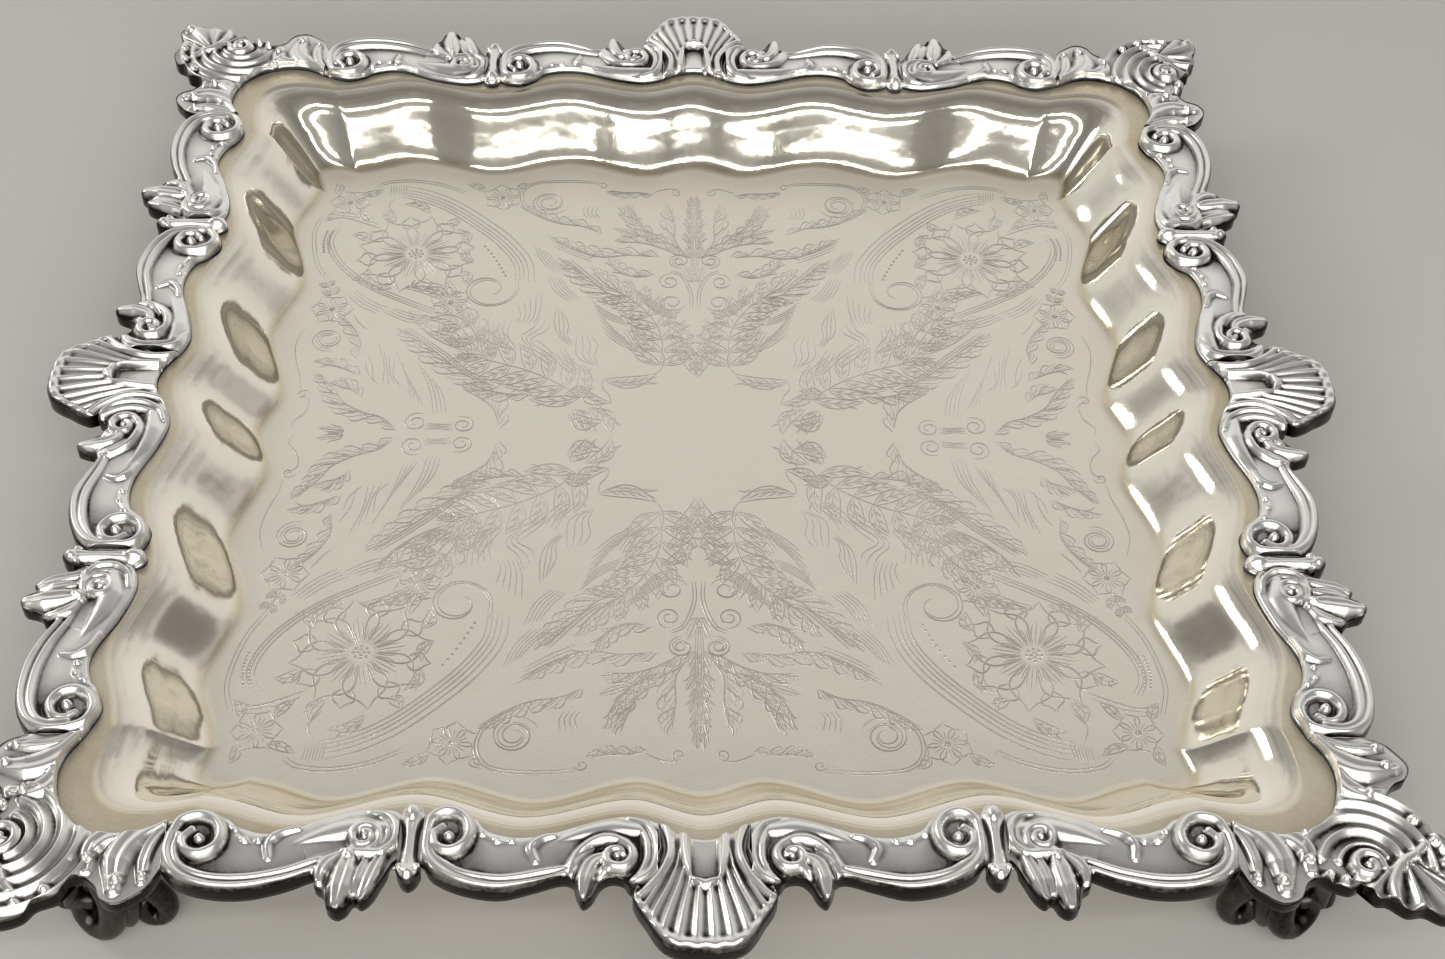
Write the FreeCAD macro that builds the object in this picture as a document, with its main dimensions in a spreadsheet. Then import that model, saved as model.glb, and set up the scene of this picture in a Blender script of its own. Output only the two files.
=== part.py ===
"""Square footed salver: a fluted tray pressed from one sheet, a cast scroll-and-shell border in
short lengths soldered to its flange, and four cast scroll feet soldered under its corners.

Frame: +Z up, the centre of the tray over the origin, the soles of the feet on Z = 0.
Plan outlines are written as fractions of the reach, which is the distance from the centre to a
shell's tip, so the whole plan follows that one dimension.
"""

import FreeCAD, Part

import math
import os

from FreeCAD import Placement, Rotation, Vector

# Driving dimensions in millimetres and degrees: alias, value, what it is.
DIMENSIONS = [
    ("reach", 170.0, "centre to the tip of a shell"),
    ("metal", 1.2, "thickness of the tray's sheet"),
    ("floor_lift", 9.0, "underside of the floor above the table"),
    ("well_depth", 18.5, "top of the flange above the top of the floor"),
    ("floor_half", 115.0, "centre to the floor's edge, mean of the flutes"),
    ("rim_half", 136.0, "centre to the flange's inner edge, mean of the flutes"),
    ("flange_half", 148.5, "centre to the flange's outer edge"),
    ("floor_corner", 12.0, "corner radius of the floor"),
    ("rim_corner", 28.0, "corner radius of the flange's inner edge"),
    ("flange_corner", 22.0, "corner radius of the flange's outer edge"),
    ("floor_swing", 3.0, "how far the flutes swing at the floor"),
    ("rim_swing", 3.0, "how far the flutes swing at the flange"),
    ("mount_base", 2.4, "thickness of a mount's ground"),
    ("bead_rise", 1.5, "rise of the bead along a scroll's outer edge"),
    ("bead_width", 2.2, "width of that bead"),
    ("bead_inset", 0.8, "bare ground outside that bead"),
    ("volute_radius", 5.0, "radius of a large volute"),
    ("volute_rise", 2.3, "rise of a volute's dome over its ground"),
    ("tuft_length", 5.2, "half the length of a leaf tuft's dome"),
    ("tuft_width", 2.6, "half the width of a leaf tuft's dome"),
    ("tie_rise", 2.0, "rise of a leaf tie over the ground of the scrolls"),
    ("shell_rib_root", 0.7, "radius of a shell's rib at its root"),
    ("shell_rib_tip", 1.9, "radius of a shell's rib at its outer end"),
    ("shell_rib_length", 22.0, "length of a shell's rib"),
    ("shell_fan", 96.0, "angle between a shell's first and last rib"),
    ("swirl_sweep", 215.0, "angle that a corner's flutes wrap round its swirl"),
    ("swirl_end", -35.0, "bearing at which that sweep ends"),
    ("flute_pitch", 4.4, "spacing of a corner's flutes"),
    ("flute_radius", 1.76, "radius of a corner's flute"),
    ("foot_station", 193.0, "centre to the middle of a foot's pad, along the diagonal"),
    ("pad_length", 22.0, "length of a foot's pad, across the diagonal"),
    ("pad_width", 10.0, "width of a foot's pad, along the diagonal"),
    ("pad_thickness", 2.4, "thickness of a foot's pad"),
    ("bracket_thickness", 5.0, "thickness of a foot's bracket"),
    ("toe_width", 9.0, "width of a foot's toe"),
    ("foot_spread", 20.0, "middle of a foot to the middle of the volute at a bracket's end"),
]

# Expressions for the levels that follow from the driving dimensions.
SEAT = "sizes.floor_lift + sizes.metal + sizes.well_depth"
GROUND = SEAT + " + sizes.mount_base"

# The four sides, each with the turn that carries the back side to it, and what lies at its two ends.
SIDES = [("back", 0, "left", "right"), ("left", 90, "front", "back"),
         ("front", 180, "right", "left"), ("right", 270, "back", "front")]
CORNERS = [("back_right", 0), ("back_left", 90), ("front_left", 180), ("front_right", 270)]

# Flutes along half a side, from its middle to the corner's diagonal: (place at the floor, place at
# the rim, swing at the floor, swing at the rim). Places are fractions of the reach, and swings are
# shares of the full swing, positive outwards.
FLUTES = [(0.0, 0.0, 0.3, 1.0), (0.085, 0.095, -1.0, -0.4), (0.225, 0.230, 1.0, 1.0),
          (0.365, 0.375, -1.0, -1.0), (0.500, 0.525, 0.8, 0.9), (0.610, 0.655, -1.0, -0.8)]
DIAGONAL_SWING = 0.5
FLUTE_CREASE = 0.60
POINTS_PER_HALF_SIDE = 30
WALL_SECTIONS = 9

# Plan outlines of the mounts, as runs of points joined end to end: two points make a straight run.
SHELL_HALF = [
    [(0.0, 0.838), (0.030, 0.832), (0.058, 0.815)],
    [(0.058, 0.815), (0.058, 0.886)],
    [(0.058, 0.886), (0.083, 0.900), (0.092, 0.921), (0.085, 0.946), (0.066, 0.970), (0.036, 0.991),
     (0.0, 1.0)],
]
SHELL_HINGE = (0.0, 0.862)
SHELL_RIBS = 7
INNER_SCROLL = [
    [(0.060, 0.814), (0.100, 0.808), (0.150, 0.820), (0.205, 0.828), (0.260, 0.822), (0.300, 0.802),
     (0.330, 0.795), (0.350, 0.799)],
    [(0.350, 0.799), (0.350, 0.870)],
    [(0.350, 0.870), (0.338, 0.886), (0.300, 0.903), (0.250, 0.911), (0.205, 0.905), (0.172, 0.893)],
    [(0.172, 0.893), (0.168, 0.911), (0.154, 0.926)],
    [(0.154, 0.926), (0.134, 0.905), (0.112, 0.888), (0.060, 0.879)],
    [(0.060, 0.879), (0.060, 0.814)],
]
INNER_BEAD = [(0.338, 0.886), (0.300, 0.903), (0.250, 0.911), (0.205, 0.905), (0.172, 0.893)]
INNER_VOLUTES = [(0.318, 0.833), (0.092, 0.846)]
INNER_TUFT = [(0.143, 0.900)]
INNER_TUFT_LEAN = 35
OUTER_SCROLL = [
    [(0.390, 0.800), (0.420, 0.797), (0.470, 0.809), (0.520, 0.826), (0.570, 0.828), (0.603, 0.812),
     (0.635, 0.803), (0.675, 0.815)],
    [(0.675, 0.815), (0.675, 0.884)],
    [(0.675, 0.884), (0.650, 0.903), (0.600, 0.914), (0.550, 0.911), (0.510, 0.900), (0.478, 0.892)],
    [(0.478, 0.892), (0.471, 0.922), (0.455, 0.941)],
    [(0.455, 0.941), (0.428, 0.922), (0.408, 0.897), (0.390, 0.880)],
    [(0.390, 0.880), (0.390, 0.800)],
]
OUTER_BEAD = [(0.650, 0.903), (0.600, 0.914), (0.550, 0.911), (0.510, 0.900), (0.478, 0.892)]
OUTER_VOLUTES = [(0.636, 0.843), (0.424, 0.832)]
OUTER_TUFT = [(0.442, 0.903)]
OUTER_TUFT_LEAN = 20
TIE_PLACE = 0.370
TIE_HALF = [
    [(0.0, 0.786), (0.010, 0.789), (0.0185, 0.798)],
    [(0.0185, 0.798), (0.010, 0.830), (0.009, 0.860), (0.0185, 0.893)],
    [(0.0185, 0.893), (0.010, 0.901), (0.0, 0.904)],
]
CORNER_HALF = [
    [(0.805, 0.805), (0.783, 0.823), (0.745, 0.837), (0.710, 0.835), (0.677, 0.817)],
    [(0.677, 0.817), (0.677, 0.884)],
    [(0.677, 0.884), (0.698, 0.912), (0.724, 0.926), (0.750, 0.915), (0.772, 0.893)],
    [(0.772, 0.893), (0.800, 0.915), (0.840, 0.938), (0.880, 0.945), (0.938, 0.938)],
]
CORNER_LEAVES = [(0.728, 0.872, 60), (0.872, 0.728, 30)]
SWIRL = (0.882, 0.832)
FLUTE_RINGS = (2, 3)

doc = FreeCAD.newDocument("salver")
sheet = doc.addObject("Spreadsheet::Sheet", "sizes")
for row, (alias, value, note) in enumerate(DIMENSIONS, start=1):
    sheet.set(f"A{row}", note)
    sheet.set(f"B{row}", str(value))
    sheet.setAlias(f"B{row}", alias)
doc.recompute()


def size(alias):
    """The value of one driving dimension."""
    return float(getattr(sheet, alias))


# ---- The tray

def half_side(half, corner):
    """Points and outward normals along half of the back side, from its middle to the diagonal, at
    even steps, with the places along it."""
    straight = half - corner
    length = straight + corner * math.pi / 4
    found = []
    for step in range(POINTS_PER_HALF_SIDE + 1):
        along = length * step / POINTS_PER_HALF_SIDE
        if along <= straight:
            found.append((Vector(along, half, 0), Vector(0, 1, 0), along))
            continue
        angle = (along - straight) / corner
        normal = Vector(math.sin(angle), math.cos(angle), 0)
        found.append((Vector(straight, straight, 0) + normal * corner, normal, along))
    return found, length


def swing(along, length, share):
    """The flutes' swing at a place along half a side, from -1 to 1, share of the way up the wall."""
    reach = size("reach")
    places = [(low + (high - low) * share) * reach for low, high, _, _ in FLUTES] + [length]
    swings = [low + (high - low) * share for _, _, low, high in FLUTES] + [DIAGONAL_SWING]
    index = max(i for i in range(len(FLUTES)) if places[i] <= along + 1e-9)
    turn = (along - places[index]) / (places[index + 1] - places[index])
    crease = math.asin(FLUTE_CREASE * math.cos(math.pi * turn)) / math.asin(FLUTE_CREASE)
    middle = (swings[index] + swings[index + 1]) / 2
    return middle + crease * (swings[index] - swings[index + 1]) / 2


def fluted_wire(half, corner, depth, share, level):
    """One closed outline of the tray: a rounded square whose sides swing in and out as flutes."""
    eighth, length = half_side(half, corner)
    quarter = [point + normal * depth * swing(along, length, share) for point, normal, along in eighth]
    quarter = [Vector(-point.x, point.y, 0) for point in quarter[:0:-1]] + quarter[:-1]
    points = []
    for turn in range(4):
        rotation = Rotation(Vector(0, 0, 1), -90 * turn)
        points += [rotation.multVec(point) + Vector(0, 0, level) for point in quarter]
    curve = Part.BSplineCurve()
    curve.interpolate(Points=points, PeriodicFlag=True)
    return Part.Wire(curve.toShape())


def wall_wires(drop):
    """The outlines up the wall, an ogee from the floor to the flange, on its upper skin for a drop
    of 0 and on its under skin for a drop of the sheet's thickness."""
    floor, rim, depth = size("floor_half"), size("rim_half"), size("well_depth")
    base = size("floor_lift") + size("metal")
    wires = []
    for section in range(WALL_SECTIONS):
        share = section / (WALL_SECTIONS - 1)
        rise = (1 - math.cos(math.pi * share)) / 2
        slope = math.atan2(depth * math.pi / 2 * math.sin(math.pi * share), rim - floor)
        half = floor + (rim - floor) * share + drop * math.sin(slope)
        corner = size("floor_corner") + (size("rim_corner") - size("floor_corner")) * share
        swung = size("floor_swing") + (size("rim_swing") - size("floor_swing")) * share
        level = base + depth * rise - drop * math.cos(slope)
        wires.append(fluted_wire(half, corner + drop * math.sin(slope), swung, share, level))
    return wires


def make_tray():
    """The tray as one closed sheet: floor, fluted wall and flange, each with its two skins."""
    upper, under = wall_wires(0.0), wall_wires(size("metal"))
    top = size("floor_lift") + size("metal") + size("well_depth")
    edges = [fluted_wire(size("flange_half"), size("flange_corner"), 0.0, 1.0, level)
             for level in (top, top - size("metal"))]
    faces = [Part.Face(upper[0]), Part.Face(under[0])]
    faces += Part.makeLoft(upper, False, False).Faces + Part.makeLoft(under, False, False).Faces
    faces += [Part.Face([edges[0], upper[-1]], "Part::FaceMakerBullseye"),
              Part.Face([edges[1], under[-1]], "Part::FaceMakerBullseye")]
    faces += Part.makeLoft(edges, False, True).Faces
    shell = Part.makeShell(faces)
    shell.sewShape()
    solid = Part.Solid(shell)
    if solid.Volume < 0:
        solid.reverse()
    tray = doc.addObject("Part::Feature", "tray_body")
    tray.Shape = solid
    tray.Placement = Placement()
    return tray


# ---- Tools for the mounts

def scaled(points, hand=1):
    """Plan points in millimetres from fractions of the reach, mirrored if hand is -1."""
    return [Vector(hand * x, y, 0) * size("reach") for x, y in points]


def run_curve(points):
    """A straight line through two points, or a smooth curve through more."""
    if len(points) == 2:
        return Part.LineSegment(*points)
    curve = Part.BSplineCurve()
    curve.interpolate(points)
    return curve


def new_body(label):
    body = doc.addObject("PartDesign::Body", label)
    body.Label = label
    return body


def plane_of(body, role):
    return next(f for f in body.Origin.OriginFeatures if f.Role == role)


def sketch_on(body, name, role, curves, lift=None):
    """A sketch on one of the body's own origin planes, raised by an expression."""
    sketch = body.newObject("Sketcher::SketchObject", name)
    sketch.AttachmentSupport = [(plane_of(body, role), "")]
    sketch.MapMode = "FlatFace"
    for curve in curves:
        sketch.addGeometry(curve)
    if lift:
        sketch.setExpression("AttachmentOffset.Base.z", lift)
    return sketch


def add_pad(body, name, sketch, length, midplane=False):
    pad = body.newObject("PartDesign::Pad", name)
    pad.Profile = sketch
    pad.Midplane = midplane
    pad.setExpression("Length", length)
    return pad


def add_dome(body, name, at, long_half, wide_half, bearing=0.0):
    """Half an ellipsoid that stands on the ground of a mount, its length along the bearing."""
    dome = body.newObject("PartDesign::AdditiveEllipsoid", name)
    dome.setExpression("Radius1", "sizes.volute_rise")
    dome.setExpression("Radius2", long_half)
    dome.setExpression("Radius3", wide_half)
    dome.Placement = Placement(at, Rotation(Vector(0, 0, 1), bearing))
    dome.setExpression("Placement.Base.z", GROUND)
    return dome


def add_fan(body, hinge, first_bearing, ribs, fan, length):
    """Ribs that spread from a hinge point, each a lying cone, as one patterned feature."""
    rib = body.newObject("PartDesign::AdditiveCone", "rib")
    rib.setExpression("Radius1", "sizes.shell_rib_root")
    rib.setExpression("Radius2", "sizes.shell_rib_tip")
    rib.setExpression("Height", length)
    upright = Rotation(Vector(0, 0, 1), Vector(1, 0, 0))
    rib.Placement = Placement(hinge, Rotation(Vector(0, 0, 1), first_bearing).multiply(upright))
    rib.setExpression("Placement.Base.z", GROUND)
    pivot = sketch_on(body, "pivot", "XY_Plane", [])
    pivot.AttachmentOffset = Placement(hinge, Rotation())
    pattern = body.newObject("PartDesign::PolarPattern", "fan")
    pattern.Originals = [rib]
    pattern.Axis = (pivot, ["N_Axis"])
    pattern.setExpression("Angle", fan)
    pattern.Occurrences = ribs
    body.Tip = pattern


def mirrored_outline(half_runs, mirror):
    """A closed outline from its half, whose first and last points lie on the mirror line."""
    there = [run_curve([mm * size("reach") for mm in map(to_vector, run)]) for run in half_runs]
    back = [run_curve([mirror(mm) * size("reach") for mm in map(to_vector, run)]) for run in half_runs]
    return there + back


def to_vector(point):
    return Vector(point[0], point[1], 0)


def band(points, hand):
    """A closed band of the bead's width, which runs inside the edge that the points follow."""
    outer = [point - Vector(0, size("bead_inset"), 0) for point in scaled(points, hand)]
    inner = [point - Vector(0, size("bead_width"), 0) for point in outer]
    return [run_curve(outer), run_curve(inner), Part.LineSegment(outer[0], inner[0]),
            Part.LineSegment(outer[-1], inner[-1])]


# ---- The mounts, built on the back side

def make_shell(label):
    """A shell at the middle of a side, with ribs that fan from its hinge."""
    body = new_body(label)
    curves = mirrored_outline(SHELL_HALF, lambda v: Vector(-v.x, v.y, 0))
    add_pad(body, "ground", sketch_on(body, "outline", "XY_Plane", curves, SEAT), "sizes.mount_base")
    hinge = scaled([SHELL_HINGE])[0]
    first = 90 - size("shell_fan") / 2
    add_fan(body, hinge, first, SHELL_RIBS, "sizes.shell_fan", "sizes.shell_rib_length")
    return body


def make_inner_scroll(label, hand):
    """The length of border beside a shell: a dished panel with a volute at each end."""
    body = new_body(label)
    curves = [run_curve(scaled(run, hand)) for run in INNER_SCROLL]
    add_pad(body, "ground", sketch_on(body, "outline", "XY_Plane", curves, SEAT), "sizes.mount_base")
    edge = sketch_on(body, "bead_band", "XY_Plane", band(INNER_BEAD, hand), GROUND)
    add_pad(body, "bead", edge, "sizes.bead_rise")
    for number, at in enumerate(scaled(INNER_VOLUTES, hand), start=1):
        add_dome(body, f"volute_{number}", at, "sizes.volute_radius", "sizes.volute_radius")
    tuft = scaled(INNER_TUFT, hand)[0]
    lean = 90 - hand * INNER_TUFT_LEAN
    add_dome(body, "tuft", tuft, "sizes.tuft_length", "sizes.tuft_width", lean)
    return body


def make_outer_scroll(label, hand):
    """The length of border between a leaf tie and a corner."""
    body = new_body(label)
    curves = [run_curve(scaled(run, hand)) for run in OUTER_SCROLL]
    add_pad(body, "ground", sketch_on(body, "outline", "XY_Plane", curves, SEAT), "sizes.mount_base")
    edge = sketch_on(body, "bead_band", "XY_Plane", band(OUTER_BEAD, hand), GROUND)
    add_pad(body, "bead", edge, "sizes.bead_rise")
    for number, at in enumerate(scaled(OUTER_VOLUTES, hand), start=1):
        add_dome(body, f"volute_{number}", at, "sizes.volute_radius", "sizes.volute_radius")
    tuft = scaled(OUTER_TUFT, hand)[0]
    lean = 90 - hand * OUTER_TUFT_LEAN
    add_dome(body, "tuft", tuft, "sizes.tuft_length", "sizes.tuft_width", lean)
    return body


def make_tie(label, hand):
    """A waisted leaf tie, which covers the joint between two lengths of scroll."""
    body = new_body(label)
    curves = mirrored_outline(TIE_HALF, lambda v: Vector(-v.x, v.y, 0))
    for curve in curves:
        curve.translate(Vector(hand * TIE_PLACE * size("reach"), 0, 0))
    outline = sketch_on(body, "outline", "XY_Plane", curves, SEAT)
    add_pad(body, "ground", outline, "sizes.mount_base + sizes.tie_rise")
    return body


def make_corner(label):
    """A corner mount: a leaf along each arm, and flutes that wrap round a swirl beside the corner."""
    body = new_body(label)
    curves = mirrored_outline(CORNER_HALF, lambda v: Vector(v.y, v.x, 0))
    add_pad(body, "ground", sketch_on(body, "outline", "XY_Plane", curves, SEAT), "sizes.mount_base")
    for number, (x, y, bearing) in enumerate(CORNER_LEAVES, start=1):
        at = scaled([(x, y)])[0]
        add_dome(body, f"leaf_{number}", at, "sizes.tuft_length", "sizes.tuft_width", bearing)
    swirl = scaled([SWIRL])[0]
    add_dome(body, "swirl", swirl, "sizes.volute_radius", "sizes.volute_radius")
    pitch = size("flute_pitch")
    section = body.newObject("Sketcher::SketchObject", "flute_sections")
    for ring in FLUTE_RINGS:
        centre = Vector(ring * pitch, 0, 0)
        section.addGeometry(Part.Circle(centre, Vector(0, 0, 1), size("flute_radius")))
    bearing = Rotation(Vector(0, 0, 1), size("swirl_end") - size("swirl_sweep"))
    upright = Rotation(Vector(1, 0, 0), 90)
    section.Placement = Placement(swirl, bearing.multiply(upright))
    section.setExpression("Placement.Base.z", GROUND)
    flutes = body.newObject("PartDesign::Revolution", "flutes")
    flutes.Profile = section
    flutes.ReferenceAxis = (section, ["V_Axis"])
    flutes.setExpression("Angle", "sizes.swirl_sweep")
    return body


# ---- The feet

def make_foot(label):
    """A cast scroll foot along +X: a pad under the flange, a bracket across the diagonal whose ends
    roll into volutes, and a toe that curls outwards to the table."""
    body = new_body(label)
    station, top = size("foot_station"), size("floor_lift") + size("well_depth")
    half_pad, spread = size("pad_length") / 2, size("foot_spread")
    pad_bottom = top - size("pad_thickness")
    half_front = [
        [(0, 9.5), (3.0, 8.5), (5.0, 3.0), (7.0, 0)],
        [(7.0, 0), (12.0, 0)],
        [(12.0, 0), (14.0, 3.0), (14.8, 6.5), (15.6, 3.2), (spread - 2.0, 0.8)],
        [(spread - 2.0, 0.8), (spread + 1.5, 0.8)],
        [(spread + 1.5, 0.8), (spread + 4.5, 4.6), (spread + 2.5, 9.6), (spread - 3.5, 13.0),
         (half_pad + 2.0, 18.5), (half_pad, pad_bottom)],
        [(half_pad, pad_bottom), (half_pad, top)],
        [(half_pad, top), (0, top)],
    ]
    front = []
    for hand in (1, -1):
        front += [run_curve([Vector(hand * across, up, 0) for across, up in run]) for run in half_front]
    bracket = sketch_on(body, "bracket_front", "YZ_Plane", front)
    bracket.setExpression("AttachmentOffset.Base.z", "sizes.foot_station")
    add_pad(body, "bracket", bracket, "sizes.bracket_thickness", midplane=True)
    side = [
        run_curve([Vector(*p, 0) for p in [(station - 2.5, top - 2), (station - 3.0, 14.0),
                                           (station - 1.0, 6.5), (station + 1.0, 0)]]),
        Part.LineSegment(Vector(station + 1.0, 0, 0), Vector(station + 7.5, 0, 0)),
        run_curve([Vector(*p, 0) for p in [(station + 7.5, 0), (station + 9.5, 4.0),
                                           (station + 6.0, 8.6), (station + 3.4, 14.0),
                                           (station + 4.5, top - 2)]]),
        Part.LineSegment(Vector(station + 4.5, top - 2, 0), Vector(station - 2.5, top - 2, 0)),
    ]
    add_pad(body, "toe", sketch_on(body, "toe_side", "XZ_Plane", side), "sizes.toe_width", midplane=True)
    pad = body.newObject("PartDesign::AdditiveBox", "pad")
    pad.setExpression("Length", "sizes.pad_width")
    pad.setExpression("Width", "sizes.pad_length")
    pad.setExpression("Height", "sizes.pad_thickness")
    pad.setExpression("Placement.Base.x", "sizes.foot_station - sizes.pad_width / 2")
    pad.setExpression("Placement.Base.y", "-sizes.pad_length / 2")
    pad.setExpression("Placement.Base.z", "sizes.floor_lift + sizes.well_depth - sizes.pad_thickness")
    return body


# ---- Assembly

def turned(part, angle):
    part.Placement = Placement(Vector(), Rotation(Vector(0, 0, 1), angle))
    return part


def assemble():
    parts = [make_tray()]
    for side, angle, minus_end, plus_end in SIDES:
        parts.append(turned(make_shell(f"shell_mount_{side}"), angle))
        for hand, end in ((-1, minus_end), (1, plus_end)):
            parts.append(turned(make_inner_scroll(f"inner_scroll_{side}_{end}", hand), angle))
            parts.append(turned(make_tie(f"leaf_tie_{side}_{end}", hand), angle))
            parts.append(turned(make_outer_scroll(f"outer_scroll_{side}_{end}", hand), angle))
    for corner, angle in CORNERS:
        parts.append(turned(make_corner(f"corner_mount_{corner}"), angle))
        parts.append(turned(make_foot(f"foot_{corner}"), angle + 45))
    return parts


def check(parts):
    """Stops the script if any object failed or any sub-part isn't a valid closed solid."""
    failed = [o.Name for o in doc.Objects if {"Invalid", "Error"} & set(o.State)]
    if failed:
        raise RuntimeError(f"these objects failed: {failed}")
    for part in parts:
        shape = part.Shape
        if shape.isNull() or not shape.isValid() or not shape.Solids:
            raise RuntimeError(f"{part.Label} has no valid solid")


def export(parts):
    os.makedirs("parts", exist_ok=True)
    for part in parts:
        part.Shape.exportStep(os.path.join("parts", f"{part.Label}.step"))
        print(f"{part.Label}: {len(part.Shape.Solids)} solid, {part.Shape.Volume:.0f} mm3")


sub_parts = assemble()
doc.recompute()
check(sub_parts)
export(sub_parts)
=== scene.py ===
"""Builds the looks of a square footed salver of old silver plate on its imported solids: a fluted tray
with an engraved floor, a cast scroll-and-shell border, and four cast scroll feet.

Plan places are fractions of the reach, the distance from the centre to a shell's tip, and heights of
relief are in millimetres over the flange that carries the border. Each mount of the border is drawn
once, on the back side or the back right corner, and its copies are mirrored and turned into place.
"""

import math

import bpy
import numpy as np
from bpy.props import FloatProperty, FloatVectorProperty, IntProperty, PointerProperty
from mathutils import Matrix, Vector


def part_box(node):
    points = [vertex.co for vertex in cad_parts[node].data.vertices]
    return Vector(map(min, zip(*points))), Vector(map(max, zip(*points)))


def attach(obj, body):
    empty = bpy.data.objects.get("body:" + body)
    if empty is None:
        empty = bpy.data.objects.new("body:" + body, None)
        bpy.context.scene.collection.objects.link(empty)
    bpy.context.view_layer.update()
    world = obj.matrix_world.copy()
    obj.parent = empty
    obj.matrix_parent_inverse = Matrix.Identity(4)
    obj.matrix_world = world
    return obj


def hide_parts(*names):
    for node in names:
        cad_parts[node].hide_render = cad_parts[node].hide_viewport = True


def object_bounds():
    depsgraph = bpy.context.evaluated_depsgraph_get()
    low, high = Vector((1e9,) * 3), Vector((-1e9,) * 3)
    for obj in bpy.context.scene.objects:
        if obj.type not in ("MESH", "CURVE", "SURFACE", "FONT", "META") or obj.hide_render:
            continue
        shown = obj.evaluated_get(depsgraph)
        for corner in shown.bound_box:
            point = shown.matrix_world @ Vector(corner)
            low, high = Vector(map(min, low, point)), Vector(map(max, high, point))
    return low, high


bl_info = {
    "name": "Footed Salver",
    "version": (1, 0, 0),
    "blender": (4, 5, 0),
    "location": "3D View > Sidebar > Salver",
    "description": "Builds a square footed salver with a cast border and an engraved floor",
    "category": "Add Mesh",
}

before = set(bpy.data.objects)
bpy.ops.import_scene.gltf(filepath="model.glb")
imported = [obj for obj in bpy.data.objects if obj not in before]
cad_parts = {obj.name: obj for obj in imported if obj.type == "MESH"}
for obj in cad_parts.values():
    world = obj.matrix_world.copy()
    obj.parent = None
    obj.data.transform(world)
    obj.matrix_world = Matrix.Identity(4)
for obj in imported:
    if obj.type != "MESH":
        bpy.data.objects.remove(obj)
CAD_BOUNDS = [list(corner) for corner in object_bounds()]

MM = 0.001
REACH = (CAD_BOUNDS[1][0] - CAD_BOUNDS[0][0]) / 2
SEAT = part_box("tray_body")[1][2]
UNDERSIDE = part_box("tray_body")[0][2]
FLANGE_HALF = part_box("tray_body")[1][0]
FLANGE_CORNER = 22 * MM

# Each side with its turn from the back, and the ends that its mirrored and its plain mounts reach.
SIDES = [("back", 0, "left", "right"), ("left", 90, "front", "back"),
         ("front", 180, "right", "left"), ("right", 270, "back", "front")]
CORNERS = [("back_right", 0), ("back_left", 90), ("front_left", 180), ("front_right", 270)]


# ---- Settings

class SalverSettings(bpy.types.PropertyGroup):
    """The sizes and finishes that a maker would change."""

    sheet: FloatProperty(name="Sheet", description="Thickness of the tray's sheet",
                         default=1.2 * MM, unit="LENGTH")
    relief_step: FloatProperty(name="Relief step", description="Spacing of the points of cast relief",
                               default=0.30 * MM, unit="LENGTH", precision=5)
    flute_points: IntProperty(name="Flute points", description="Points along half a side of the tray",
                              default=230)
    cast_roughness: FloatProperty(name="Cast roughness", description="Roughness of the polished mounts",
                                  default=0.29, subtype="FACTOR")
    wall_roughness: FloatProperty(name="Wall roughness", description="Roughness of the fluted wall",
                                  default=0.09, subtype="FACTOR")
    floor_roughness: FloatProperty(name="Floor roughness", description="Roughness of the satin floor",
                                   default=0.36, subtype="FACTOR")
    cast_colour: FloatVectorProperty(name="Cast colour", description="Colour of the polished mounts",
                                     default=(0.925, 0.91, 0.88), subtype="COLOR", min=0, max=1)
    sheet_colour: FloatVectorProperty(name="Sheet colour", description="Colour of the tray where bright",
                                      default=(0.905, 0.858, 0.75), subtype="COLOR", min=0, max=1)
    tarnish_colour: FloatVectorProperty(name="Tarnish colour", description="Colour of the tray's tarnish",
                                        default=(0.56, 0.46, 0.29), subtype="COLOR", min=0, max=1)
    eye_height: FloatProperty(name="Eye height", description="Height of the camera over the flange",
                              default=0.3629, unit="LENGTH")


def settings():
    return bpy.context.scene.salver


# ---- Curves and grids

def smooth_curve(points, count):
    """Evenly spaced points on a smooth curve through the given ones."""
    p = np.asarray(points, float)
    p = np.vstack([2 * p[0] - p[1], p, 2 * p[-1] - p[-2]])
    turn = np.linspace(0, 1, 24, endpoint=False)[:, None]
    spans = []
    for a, b, c, d in zip(p[:-3], p[1:-2], p[2:-1], p[3:]):
        spans.append(0.5 * (2 * b + (c - a) * turn + (2 * a - 5 * b + 4 * c - d) * turn ** 2
                            + (3 * b - a - 3 * c + d) * turn ** 3))
    dense = np.vstack(spans + [p[-2:-1]])
    lengths = np.concatenate([[0], np.cumsum(np.linalg.norm(np.diff(dense, axis=0), axis=1))])
    at = np.linspace(0, lengths[-1], count)
    return np.column_stack([np.interp(at, lengths, dense[:, k]) for k in range(dense.shape[1])])


def nearest(path, x, y):
    """From each place to a path: the distance, and how far along the nearest point lies, 0 to 1."""
    best = np.full(x.shape, 1e9)
    along = np.zeros(x.shape)
    for index, (start, end) in enumerate(zip(path[:-1], path[1:])):
        run = end - start
        share = ((x - start[0]) * run[0] + (y - start[1]) * run[1]) / max(run @ run, 1e-12)
        share = np.clip(share, 0, 1)
        distance = np.hypot(x - start[0] - share * run[0], y - start[1] - share * run[1])
        closer = distance < best
        best = np.where(closer, distance, best)
        along = np.where(closer, (index + share) / (len(path) - 1), along)
    return best, along


def taper(values, along):
    """A value that runs evenly through the given ones from a path's start to its end."""
    return np.interp(along, np.linspace(0, 1, len(values)), values)


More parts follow.
